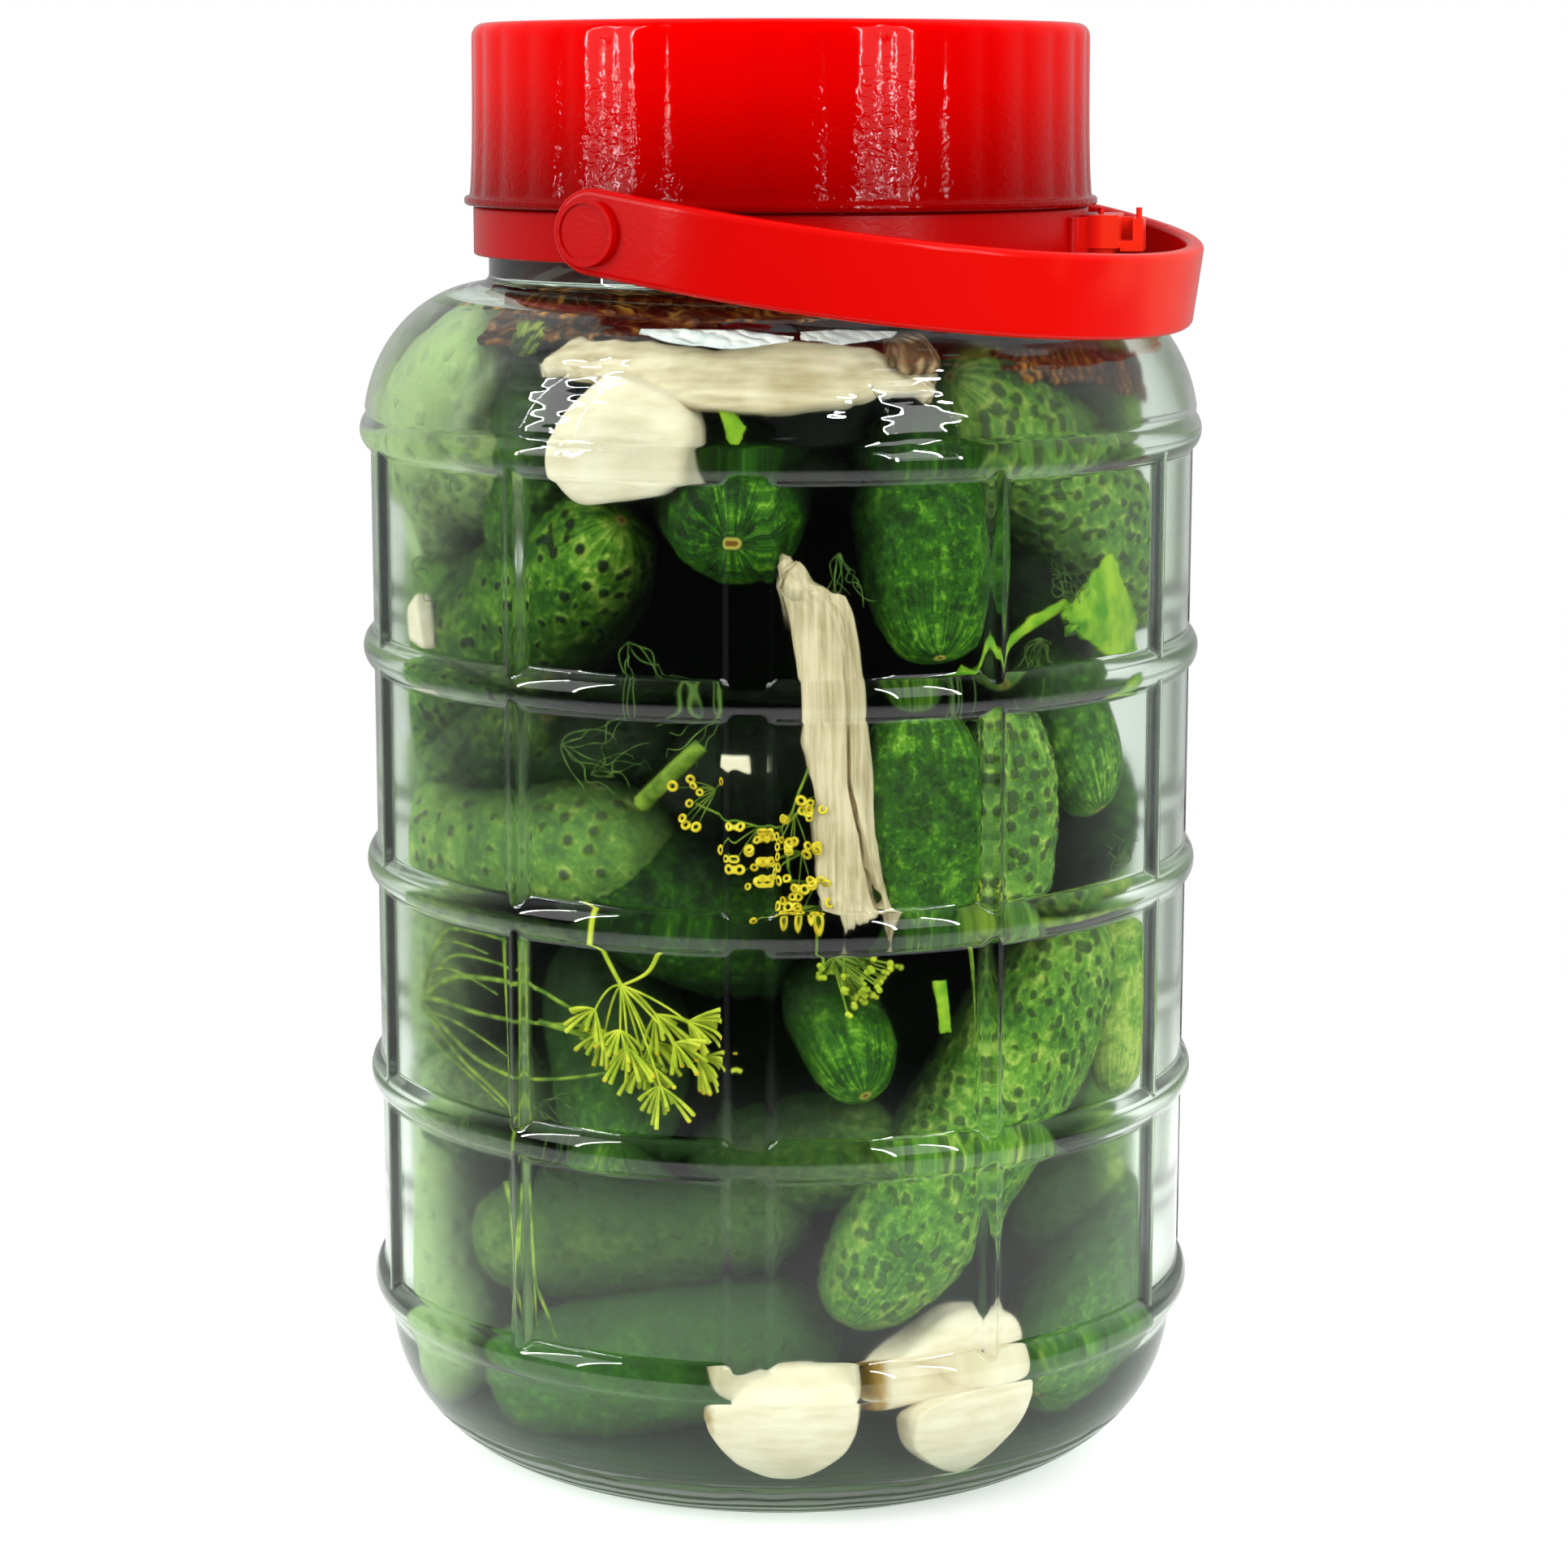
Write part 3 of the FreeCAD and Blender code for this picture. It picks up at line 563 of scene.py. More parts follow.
# %% Shape of one gherkin
def shape_gherkin(blank, tip, stem, thick, look):
    """Model one gherkin, from its blossom tip to its stem end, on a copy of the blank ball."""
    mesh = blank.copy()
    start, end = spot(*stem), spot(*tip)
    length = float(np.linalg.norm(end - start))
    ball = read_points(mesh)
    blunt = look.get("blunt", 2.6)
    squared = np.hypot(ball[:, 0], ball[:, 1]) ** blunt + np.abs(ball[:, 2]) ** blunt
    ball *= (squared ** (-1 / blunt))[:, None]
    angle = np.arctan2(ball[:, 1], ball[:, 0])
    along = ball[:, 2] * length / 2
    seed = rng.uniform(0, 100)
    girth = 1 - 0.07 * ball[:, 2] + 0.03 * np.cos(3 * angle + seed) + 0.02 * np.sin(5 * ball[:, 2] + seed)
    across = np.hypot(ball[:, 0], ball[:, 1]) * thick / 2 * girth
    warts = lay_warts(length, thick, look["spacing"])
    turn = (angle[:, None] - warts[None, :, 0] + math.pi) % math.tau - math.pi
    side = turn * across[:, None]
    ahead = along[:, None] - warts[None, :, 1]
    near = np.argmin(side ** 2 + ahead ** 2, axis=1)
    pick = np.arange(len(ball))
    to_wart = np.stack([side[pick, near], ahead[pick, near]], axis=1) / warts[near, 2][:, None]
    gap = np.hypot(to_wart[:, 0], to_wart[:, 1])
    across = across + look["rise"] * np.exp(-(gap / 1.5) ** 2) * np.clip(across / 6, 0, 1)
    bend = look.get("bend", 2.0) * (1 - ball[:, 2] ** 2)
    local = np.stack([across * np.cos(angle) + bend, across * np.sin(angle), along], axis=1)
    axis = Vector((end - start) / length)
    turned = axis.to_track_quat("Z", "Y").to_matrix() @ Matrix.Rotation(look.get("roll", 0.0), 3, "Z")
    points = press_to_glass(local @ np.array(turned).T + (start + end) / 2)
    mesh.vertices.foreach_set("co", (points * MM).ravel())
    skin = np.tile([look["tone"] + rng.uniform(-0.03, 0.03), look["pale"], look["dots"]], (len(ball), 1))
    tip_gap = np.linalg.norm(local - np.array([0, 0, length / 2]), axis=1)
    # depth behind the glass, which the skin turns into painted shade
    deep = room_at(points) - np.hypot(points[:, 0], points[:, 1])
    values = {
        "wart": np.column_stack([to_wart, gap]), "skin": skin,
        "around": np.stack([np.cos(angle), np.sin(angle), ball[:, 2] + seed], axis=1),
        "finish": np.stack([tip_gap, np.full(len(ball), look["net"]), deep], axis=1)}
    for key, value in values.items():
        mesh.attributes[key].data.foreach_set("vector", value.ravel())
    return mesh


# %% [markdown]
# The gherkins differ as they do in a real jar, except the palest kind, which is painted haze.
# Each kind has the spacing and the rise of its warts and its bend in mm, and from 0 to 1 its tone,
# its paleness and how strong its dots and its net are.
# %% Kinds of gherkin
LOOKS = {
    "bold": dict(spacing=6.0, rise=0.8, tone=0.50, pale=0.0, dots=1.0, net=0.0, bend=3.0),
    "fine": dict(spacing=4.2, rise=0.5, tone=0.70, pale=0.55, dots=1.0, net=0.0),
    "smooth": dict(spacing=8.5, rise=0.6, tone=0.39, pale=0.03, dots=0.4, net=0.2),
    "streaky": dict(spacing=7.5, rise=0.6, tone=0.44, pale=0.03, dots=0.3, net=0.1),
    "blossom": dict(spacing=8.0, rise=0.5, tone=0.36, pale=0.0, dots=0.2, net=0.1),
    "dark": dict(spacing=8.0, rise=0.5, tone=0.30, pale=0.0, dots=0.35, net=0.1),
    "yellow": dict(spacing=9.0, rise=0.5, tone=0.74, pale=0.0, dots=0.2, net=0.0),
    "net": dict(spacing=4.8, rise=0.8, tone=0.53, pale=0.05, dots=0.75, net=0.35, bend=4.0),
    "olive": dict(spacing=4.8, rise=0.7, tone=0.55, pale=0.15, dots=0.9, net=0.1),
    # painted haze: very light and pale, standing for light seen through the thick glass where these lie
    "painted_haze": dict(spacing=7.0, rise=0.8, tone=0.86, pale=0.72, dots=0.5, net=0.0, bend=3.0),
    "deep": dict(spacing=8.0, rise=0.5, tone=0.25, pale=0.0, dots=0.3, net=0.1),
    "ghost": dict(spacing=7.0, rise=0.6, tone=0.57, pale=0.10, dots=0.5, net=0.4),
    "pale": dict(spacing=6.8, rise=0.8, tone=0.62, pale=0.20, dots=1.0, net=0.0, bend=3.0),
}

# %% Where each gherkin lies
UPPER = [
    ((-25, 232, 78), (-94, 172, 78), 37, "bold"),
    ((-46, 243, 75), (-104, 231, 75), 33, "fine"),
    ((-46, 218, 74), (-50, 262, 62), 25, "smooth"),
    ((-6, 229, 92), (-22, 246, 38), 33, "deep"),
    ((22, 254, 56), (-18, 246, 62), 30, "dark"),
    ((28, 260, 74), (82, 206, 76), 34, "olive"),
    ((22, 203, 91), (23, 252, 64), 32, "blossom"),
    ((52, 262, 52), (58, 190, 60), 34, "dark"),
    ((-42, 186, 72), (-100, 160, 75), 26, "olive"),
    ((-20, 181, 60), (-66, 172, 70), 28, "smooth"),
    ((20, 194, 82), (21, 138, 80), 28, "smooth"),
    ((35, 192, 82), (36, 136, 78), 22, "olive"),
    ((52, 164, 88), (48, 200, 64), 23, "streaky"),
    ((-30, 166, 58), (26, 178, 52), 36, "dark"),
    ((-108, 256, 76), (-80, 224, 84), 36, "painted_haze"),
    ((-55, 268, 76), (-76, 240, 80), 31, "painted_haze"),
    ((60, 257, 66), (106, 240, 60), 27, "ghost"),
    ((-98, 258, 44), (-66, 232, 62), 26, "olive"),
]
LOWER = [
    ((-94, 146, 78), (-20, 158, 75), 36, "pale"),
    ((-50, 158, 64), (2, 134, 70), 36, "dark"),
    ((-27, 84, 77), (-44, 132, 50), 30, "smooth"),
    ((-44, 97, 70), (-100, 80, 74), 28, "fine"),
    ((12, 105, 88), (4, 130, 62), 20, "blossom"),
    ((20, 92, 72), (-18, 80, 58), 27, "ghost"),
    ((10, 50, 78), (58, 138, 77), 34, "net"),
    ((61, 94, 82), (63, 136, 80), 20, "yellow"),
    ((-64, 20, 76), (-90, 80, 74), 36, "painted_haze"),
    ((4, 75, 66), (-62, 57, 71), 32, "ghost"),
    ((-55, 26, 76), (10, 46, 64), 34, "smooth"),
    ((43, 28, 81), (96, 64, 76), 36, "smooth"),
    ((57, 66, 60), (118, 54, 70), 34, "ghost"),
    ((34, 150, 54), (90, 160, 66), 34, "dark"),
    ((-88, 148, 66), (-90, 92, 66), 34, "fine"),
    ((-86, 112, 60), (-84, 44, 62), 34, "smooth"),
]
BEHIND = [
    ((112, 255, 46), (158, 258, 50), 28, "smooth"),
    ((176, 256, 60), (222, 254, 48), 28, "olive"),
    ((76, 82, 46), (86, 142, 46), 33, "smooth"),
]
MIXED = ["bold", "smooth", "pale", "net", "olive", "streaky"]
COLUMNS = [(104, 49), (136, 52), (167, 73), (193, 73), (224, 52), (256, 49)]
for column, (bearing, radius) in enumerate(COLUMNS):
    for tier in range(3):
        lean = rng.uniform(-9, 9)
        middle = 53 + 77 * tier + 8 * (-1) ** column
        half = rng.uniform(36, 40)
        BEHIND.append(((bearing + lean, middle - half, radius), (bearing - lean, middle + half, radius),
                       rng.uniform(33, 37), rng.choice(MIXED)))
CORE = []
for row, height in enumerate((40, 95, 150, 205, 252)):
    for bearing in (-60, 20, 100, 190):
        turn = bearing + 35 * row
        CORE.append(((turn, height + 8, 42), (turn + 120, height - 8, 40), 34, "dark"))
print(len(UPPER) + len(LOWER), "gherkins in front,", len(BEHIND), "behind,", len(CORE), "in the core")

# %% [markdown]
# The skin of a pickled gherkin is a waxy olive green, mottled, darker round each wart and paler in
# streaks towards the blossom end, where a small corky scar sits. Under brine it has hardly any
# shine. Each wart's dot is drawn from its distance in mm, which the mesh carries as an attribute,
# so a dot stays sharp though the mesh is coarser than the dot. Skins further from the glass are
# painted darker, as painted shade for the little light that finds its way between the gherkins.
# %% Distance to the nearest wart
def wart_distance(tree, place):
    """Distance from the nearest wart's middle, in mm on a wart of middling size.

    Half-way between two warts the pair of distances that the mesh carries swings round, so the
    plain distance takes over there. A wobble 1.1 mm wide (Scale 900) keeps the dots from being round.
    """
    wart = add(tree, "ShaderNodeAttribute", attribute_name="wart").outputs["Vector"]
    side, ahead, straight = add(tree, "ShaderNodeSeparateXYZ", {0: wart}).outputs
    pair = add(tree, "ShaderNodeCombineXYZ", {0: side, 1: ahead}).outputs[0]
    near = add(tree, "ShaderNodeVectorMath", {0: pair}, operation="LENGTH").outputs["Value"]
    plain = add(tree, "ShaderNodeMath", {0: straight, 1: 2.0, 2: -1.6}, operation="MULTIPLY_ADD").outputs[0]
    gap = add(tree, "ShaderNodeMath", {0: near, 1: plain}, operation="MAXIMUM").outputs[0]
    noisy = add(tree, "ShaderNodeTexNoise", {"Vector": place, "Scale": 900.0, "Detail": 1.0}).outputs[0]
    centred = add(tree, "ShaderNodeMath", {0: noisy, 1: 0.5}, operation="SUBTRACT").outputs[0]
    wobble = add(tree, "ShaderNodeMath", {0: centred, 1: 0.5}, operation="MULTIPLY").outputs[0]
    return add(tree, "ShaderNodeMath", {0: gap, 1: wobble}, operation="ADD").outputs[0]


# %% Gherkin skin
def pickled_skin():
    """Cucumber skin cured in brine.

    Noise scales are one over the size in metres: 620 stands for flecks of 1.6 mm, 260 for a net of
    3.8 mm, 170 for mottling of 6 mm and 48 for clouds of 21 mm.
    """
    material, tree, out = new_material("pickled_gherkin_skin")
    place = add(tree, "ShaderNodeTexCoord").outputs["Object"]
    height = add(tree, "ShaderNodeSeparateXYZ", {0: place}).outputs["Z"]
    skin = add(tree, "ShaderNodeAttribute", attribute_name="skin").outputs["Vector"]
    tone, pale, dots = add(tree, "ShaderNodeSeparateXYZ", {0: skin}).outputs
    finish = add(tree, "ShaderNodeAttribute", attribute_name="finish").outputs["Vector"]
    tip_gap, net, deep = add(tree, "ShaderNodeSeparateXYZ", {0: finish}).outputs
    gap = wart_distance(tree, place)
    mottle = add(tree, "ShaderNodeTexNoise",
                 {"Vector": place, "Scale": 170.0, "Detail": 6.0, "Roughness": 0.72}).outputs[0]
    clouds = add(tree, "ShaderNodeTexNoise", {"Vector": place, "Scale": 48.0, "Detail": 2.0}).outputs[0]
    flecks = add(tree, "ShaderNodeTexNoise", {"Vector": place, "Scale": 620.0, "Detail": 2.0}).outputs[0]
    cells = add(tree, "ShaderNodeTexVoronoi", {"Vector": place, "Scale": 260.0, "Randomness": 1.0},
                feature="DISTANCE_TO_EDGE").outputs["Distance"]
    around = add(tree, "ShaderNodeAttribute", attribute_name="around").outputs["Vector"]
    drawn = add(tree, "ShaderNodeVectorMath", {0: around, 1: (10.0, 10.0, 1.1)}, operation="MULTIPLY")
    streaks = add(tree, "ShaderNodeTexNoise", {"Vector": drawn.outputs[0], "Scale": 1.0, "Detail": 3.0})

    # Each share is read off a distance or a pattern: from, to, and what it is at either.
    ranges = {
        "end": (tip_gap, 26.0, 3.0, 0.0, 1.0),
        "flecks": (flecks, 0.52, 0.66, 0.0, 0.15),
        "net": (cells, 0.30, 0.04, 0.0, 1.0),
        "groove": (cells, 0.0, 0.35, 0.0, 1.0),
        "halo": (gap, 2.5, 1.6, 0.0, 1.0),
        "halo_hole": (gap, 1.1, 1.5, 0.0, 1.0),
        "dot": (gap, 1.25, 0.8, 0.0, 1.0),
        "wart": (gap, 2.2, 0.6, 0.0, 1.0),
        "scar": (tip_gap, 1.7, 1.0, 0.0, 1.0),
        "scar_middle": (tip_gap, 0.9, 0.4, 0.0, 1.0),
        # painted shade: skin deeper behind the glass is darkened, down to 0.05 of its colour
        "light": (deep, 26.0, 2.0, 0.05, 1.0),
        # painted haze: gherkins low in the jar are mixed towards grey-green, a veil of light
        "cloudy": (height, 0.16, 0.02, 0.0, 1.0),
    }
    share = {"pale": pale}
    for name, (measure, low, high, at_low, at_high) in ranges.items():
        share[name] = add(tree, "ShaderNodeMapRange", {0: measure, 1: low, 2: high, 3: at_low, 4: at_high},
                          interpolation_type="SMOOTHSTEP").outputs[0]
    grooved = add(tree, "ShaderNodeMath", {0: net, 1: -0.9}, operation="MULTIPLY").outputs[0]
    streaky = add(tree, "ShaderNodeMath", {0: share["end"], 1: 0.9, 2: 0.22}, operation="MULTIPLY_ADD")
    for name, times in (("net", net), ("groove", grooved), ("halo", share["halo_hole"]), ("halo", dots),
                        ("dot", dots), ("wart", dots), ("cloudy", 0.26)):
        share[name] = add(tree, "ShaderNodeMath", {0: share[name], 1: times}, operation="MULTIPLY").outputs[0]

    # Layers of tone, each as how far it is from its middle, times its strength.
    for layer, middle, strength in (
            (mottle, 0.5, 1.2), (clouds, 0.5, 0.45), (streaks.outputs[0], 0.47, streaky.outputs[0]),
            (share["end"], 0.0, 0.05), (share["flecks"], 0.0, 1.0), (share["net"], 0.0, 0.16),
            (share["halo"], 0.0, 0.20)):
        apart = add(tree, "ShaderNodeMath", {0: layer, 1: middle}, operation="SUBTRACT").outputs[0]
        step = add(tree, "ShaderNodeMath", {0: apart, 1: strength}, operation="MULTIPLY").outputs[0]
        tone = add(tree, "ShaderNodeMath", {0: tone, 1: step}, operation="ADD").outputs[0]
    colour = add(tree, "ShaderNodeValToRGB", {0: tone}, [
        (0.0, linear("#061004")), (0.28, linear("#143108")), (0.5, linear("#2A5A0A")),
        (0.72, linear("#5F9020")), (1.0, linear("#AEC256"))]).outputs[0]
    for name, layer in (("dot", "#0B1A06"), ("scar", "#A59A40"), ("scar_middle", "#6E4718"),
                        ("pale", "#9DB884")):
        colour = add(tree, "ShaderNodeMix", {0: share[name], 6: colour, 7: linear(layer)},
                     data_type="RGBA").outputs[2]
    # painted shade: the colour is scaled down with depth behind the glass
    colour = add(tree, "ShaderNodeVectorMath", {0: colour, 3: share["light"]}, operation="SCALE").outputs[0]
    # painted haze: up to 0.26 of a grey-green veil, strongest at the foot of the jar
    colour = add(tree, "ShaderNodeMix", {0: share["cloudy"], 6: colour, 7: linear("#528840")},
                 data_type="RGBA").outputs[2]
    relief = add(tree, "ShaderNodeMath", {0: mottle, 1: share["wart"]}, operation="ADD").outputs[0]
    relief = add(tree, "ShaderNodeMath", {0: relief, 1: share["groove"]}, operation="ADD").outputs[0]
    bump = add(tree, "ShaderNodeBump", {"Strength": 1.0, "Distance": 0.0011, "Height": relief})
    shader = add(tree, "ShaderNodeBsdfPrincipled", {
        "Base Color": colour, "Roughness": 0.5, "IOR": 1.4, "Specular IOR Level": 0.12,
        "Normal": bump.outputs[0]})
    tree.links.new(shader.outputs[0], out.inputs["Surface"])
    return material


skin_material = pickled_skin()
print(skin_material.name, "has", len(skin_material.node_tree.nodes), "nodes")

# %% [markdown]
# Each list becomes one piece, because a renderer and a person who edits the file both do better
# with a few pieces than with scores. Those close to the glass get a fine mesh, those behind a
# coarser one, and those in the core, of which only slivers show, a coarse one.
# %% Model the gherkins
def joined_piece(name, meshes, material):
    """Join several meshes into one piece that lies in the brine, and so rides on the jar."""
    parts = [bpy.data.objects.new(name, mesh) for mesh in meshes]
    for part in parts:
        bpy.context.scene.collection.objects.link(part)
    if len(parts) > 1:
        with bpy.context.temp_override(active_object=parts[0], selected_editable_objects=parts,
                                       selected_objects=parts, object=parts[0]):
            bpy.ops.object.join()
    piece = parts[0]
    piece.data.polygons.foreach_set("use_smooth", [True] * len(piece.data.polygons))
    piece.data.materials.clear()
    piece.data.materials.append(material)
    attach(piece, "jar")
    print(f"{piece.name}: {sum(len(p.vertices) - 2 for p in piece.data.polygons)} triangles")
    return piece


def make_gherkins(name, places, segments, rings):
    """One piece from a list of gherkins."""
    blank = blank_ball(segments, rings)
    made = [shape_gherkin(blank, tip, stem, thick, LOOKS[kind]) for tip, stem, thick, kind in places]
    bpy.data.meshes.remove(blank)
    return joined_piece(name, made, skin_material)


make_gherkins("gherkins_upper", UPPER, 68, 80)
make_gherkins("gherkins_lower", LOWER, 72, 84)
make_gherkins("gherkins_behind", BEHIND, 60, 64)
make_gherkins("gherkins_core", CORE, 28, 30)

# %% [markdown]
# Between the gherkins in the middle of the jar there is no light to speak of. A dark column
# stands in the brine there as painted shade, so that the jar isn't seen through from side to side.
# It is near black above and lighter and green-grey low down, and at its foot it spreads into the
# thin green-grey cloud of sediment that lies on the jar's floor.
# %% Dark middle, painted shade
CLOUD = [(0, 9.2), (64, 9.2), (71, 11), (77, 15), (74, 18), (60, 22)]
SHADE = [(56, 30), (56, 258), (48, 266), (0, 266)]
core_bm = spin_profile(CLOUD + SHADE, 64)
murk, tree, out = new_material("shaded_brine")
place = add(tree, "ShaderNodeTexCoord").outputs["Object"]
height = add(tree, "ShaderNodeSeparateXYZ", {0: place}).outputs["Z"]
shade = add(tree, "ShaderNodeMapRange", {0: height, 1: 0.01, 2: 0.13})
# painted shade: near black above, green-grey towards the foot
tint = add(tree, "ShaderNodeValToRGB", {0: shade.outputs[0]}, [
    (0.0, linear("#2E4029")), (0.12, linear("#1C2C22")), (0.5, linear("#0E180E")),
    (1.0, linear("#020402"))])
dull = add(tree, "ShaderNodeBsdfDiffuse", {"Color": tint.outputs[0]})
tree.links.new(dull.outputs[0], out.inputs["Surface"])
finish_piece("dark_middle", core_bm, murk, "jar")

# %% [markdown]
# ## Garlic
# Four peeled cloves. A clove is a rounded wedge: it grew against its neighbours, so it has a few
# nearly flat sides with soft edges between them. Each side is given here as a direction (right, up
# and out, for someone who faces that bit of glass) and its distance from the clove's middle, and
# the points of a ball are drawn in until they meet the nearest sides. Shallow dents come from
# mathutils' vector noise. It starts from the clock unless it is given a seed, so it gets one here,
# and the cloves come out the same each time.
# %% Shape of a clove
DENT_SEED = 1795413893              # any whole number does; another one moves the dents
noise.seed_set(DENT_SEED)


def facing(bearing):
    """Right, up and outward directions for someone who faces the jar at a bearing."""
    angle = math.radians(FACING + bearing)
    right = [-math.sin(angle), math.cos(angle), 0]
    out = [math.cos(angle), math.sin(angle), 0]
    return np.array([right, [0, 0, 1], out])


def shape_block(place, sides, softness, dents=0.25, fineness=6):
    """A soft-edged block between flat sides, with its middle at a spot; softness is low for round."""
    shape = bmesh.new()
    bmesh.ops.create_icosphere(shape, subdivisions=fineness, radius=1.0)
    mesh = bpy.data.meshes.new("block")
    shape.to_mesh(mesh)
    shape.free()
    ball = read_points(mesh)
    total = np.zeros(len(ball))
    for right, up, out, distance in sides:
        normal = np.array([right, up, out]) / math.hypot(right, up, out)
        total += (np.maximum(ball @ normal, 0) / distance) ** softness
    local = ball * (total ** (-1 / softness))[:, None]
    dented = [noise.noise_vector(Vector(point) * 0.22 + Vector(place)) for point in local]
    local += dents * np.array(dented)
    mesh.attributes.new("local", "FLOAT_VECTOR", "POINT").data.foreach_set("vector", local.ravel())
    points = press_to_glass(local @ facing(place[0]) + spot(*place))
    mesh.vertices.foreach_set("co", (points * MM).ravel())
    return mesh


# %% [markdown]
# Peeled garlic and horseradish are both pale waxy flesh that is smooth where it was cut and damp
# all over, so they share one recipe: a cream body, a cloudy change of tone 11 mm wide, and fibres
# drawn out along the piece. The cut end has dried and browned. Peeled cloves are the smoother.
# %% Garlic flesh
def root_flesh(name, pale, deep, rim, rim_reach, drawn, roughness):
    """Cut root or clove: a pale waxy body with fine lengthwise fibres and a browner cut end."""
    material, tree, out = new_material(name)
    place = add(tree, "ShaderNodeTexCoord").outputs["Object"]
    turned = add(tree, "ShaderNodeMapping", {"Vector": place, "Rotation": (0, 0, math.radians(-FACING))})
    along = add(tree, "ShaderNodeMapping", {"Vector": turned.outputs[0], "Scale": drawn})
    fibre = add(tree, "ShaderNodeTexNoise", {"Vector": along.outputs[0], "Scale": 1.0, "Detail": 4.0})
    cloud = add(tree, "ShaderNodeTexNoise", {"Vector": place, "Scale": 90.0, "Detail": 3.0})
    both = add(tree, "ShaderNodeMath", {0: fibre.outputs[0], 1: 0.6, 2: 0.0}, operation="MULTIPLY_ADD")
    both = add(tree, "ShaderNodeMath", {0: cloud.outputs[0], 1: 0.4, 2: both.outputs[0]},
               operation="MULTIPLY_ADD")
    body = add(tree, "ShaderNodeValToRGB", {0: both.outputs[0]}, [(0.30, linear(deep)), (0.60, linear(pale))])
    local = add(tree, "ShaderNodeAttribute", attribute_name="local").outputs["Vector"]
    end = add(tree, "ShaderNodeSeparateXYZ", {0: local}).outputs["X"]
    rough_end = add(tree, "ShaderNodeMath", {0: cloud.outputs[0], 1: 6.0, 2: end}, operation="MULTIPLY_ADD")
    browned = add(tree, "ShaderNodeMapRange",
                  {0: rough_end.outputs[0], 1: 4.5 - rim_reach, 2: 1.5 - rim_reach},
                  interpolation_type="SMOOTHSTEP")
    colour = add(tree, "ShaderNodeMix", {0: browned.outputs[0], 6: body.outputs[0], 7: linear(rim)},
                 data_type="RGBA")
    bump = add(tree, "ShaderNodeBump", {"Strength": 0.6, "Distance": 0.0005, "Height": fibre.outputs[0]})
    flesh = add(tree, "ShaderNodeBsdfPrincipled", {
        "Base Color": colour.outputs[2], "Roughness": roughness, "IOR": 1.4, "Specular IOR Level": 0.15,
        "Normal": bump.outputs[0]})
    tree.links.new(flesh.outputs[0], out.inputs["Surface"])
    return material


garlic_flesh = root_flesh("peeled_garlic", "#E8DCC6", "#D2C2A2", "#9A7A40", 16.5, (90, 90, 420), 0.35)

# %% Cloves
SHOULDER_CLOVE = [(-57, 82, 0, 12.7), (25, 97, 0, 12.4), (74, 67, 0, 14.8), (100, -9, 0, 16.8),
                  (83, -55, 0, 15.4), (16, -99, 0, 12.9), (-73, -68, 0, 17), (-99, 13, 0, 15.6),
                  (-77, 64, 0, 13), (5, -20, 97, 7), (-30, 50, 80, 10.5), (40, 40, 82, 11), (0, 0, -100, 7)]
RIDGED_CLOVE = [(-100, 0, 0, 16.8), (-41, 91, 0, 12.2), (0, 100, 0, 13.4), (32, 95, 0, 15.2),
                (100, 4, 0, 17.4), (86, -52, 0, 16.4), (48, -88, 0, 14), (0, -100, 0, 13.3),
                (-36, -93, 0, 13), (-75, -65, 0, 14), (0, -22, 97, 8.5), (0, 74, 66, 11.6), (0, 0, -100, 8)]
LYING_CLOVE = [(20, 98, 0, 11), (-52, 85, 0, 8.4), (-90, 40, 0, 14.5), (95, 30, 0, 18), (45, -90, 0, 9),
               (10, -100, 0, 7.8), (10, -30, 95, 7), (0, 50, 87, 9), (0, 0, -100, 7)]
TIPPED_CLOVE = [(-42, 91, 0, 10), (5, 100, 0, 12.4), (100, 10, 0, 16), (87, -50, 0, 12.6), (60, -80, 0, 11.8),
                (-10, -100, 0, 12.9), (-55, -83, 0, 12.9), (-100, 0, 0, 15.4), (0, -10, 100, 8),
                (20, 60, 77, 11), (0, 0, -100, 8)]
cloves = [shape_block(place, sides, softness) for place, sides, softness in (
    ((-23, 250, 84), SHOULDER_CLOVE, 15), ((0, 29, 86), RIDGED_CLOVE, 12), ((27, 41, 76), LYING_CLOVE, 8),
    ((29, 27, 86), TIPPED_CLOVE, 10))]
joined_piece("garlic_cloves", cloves, garlic_flesh)
END_BIT = [(-60, 80, 0, 5), (90, 20, 0, 3), (-20, -98, 0, 5), (-100, 0, 0, 3.5), (0, 0, 100, 3),
           (0, 0, -100, 3)]
CHIP = [(0, 100, 0, 1.5), (100, 20, 0, 2.2), (-30, -95, 0, 1.7), (-100, 30, 0, 2.2), (0, 0, 100, 1.2),
        (0, 0, -100, 2)]
bits = [shape_block(place, sides, softness=9, dents=0.4, fineness=4)
        for place, sides in (((-67, 204, 82), END_BIT), ((-6, 180, 84), CHIP))]
joined_piece("garlic_pieces", bits, garlic_flesh)

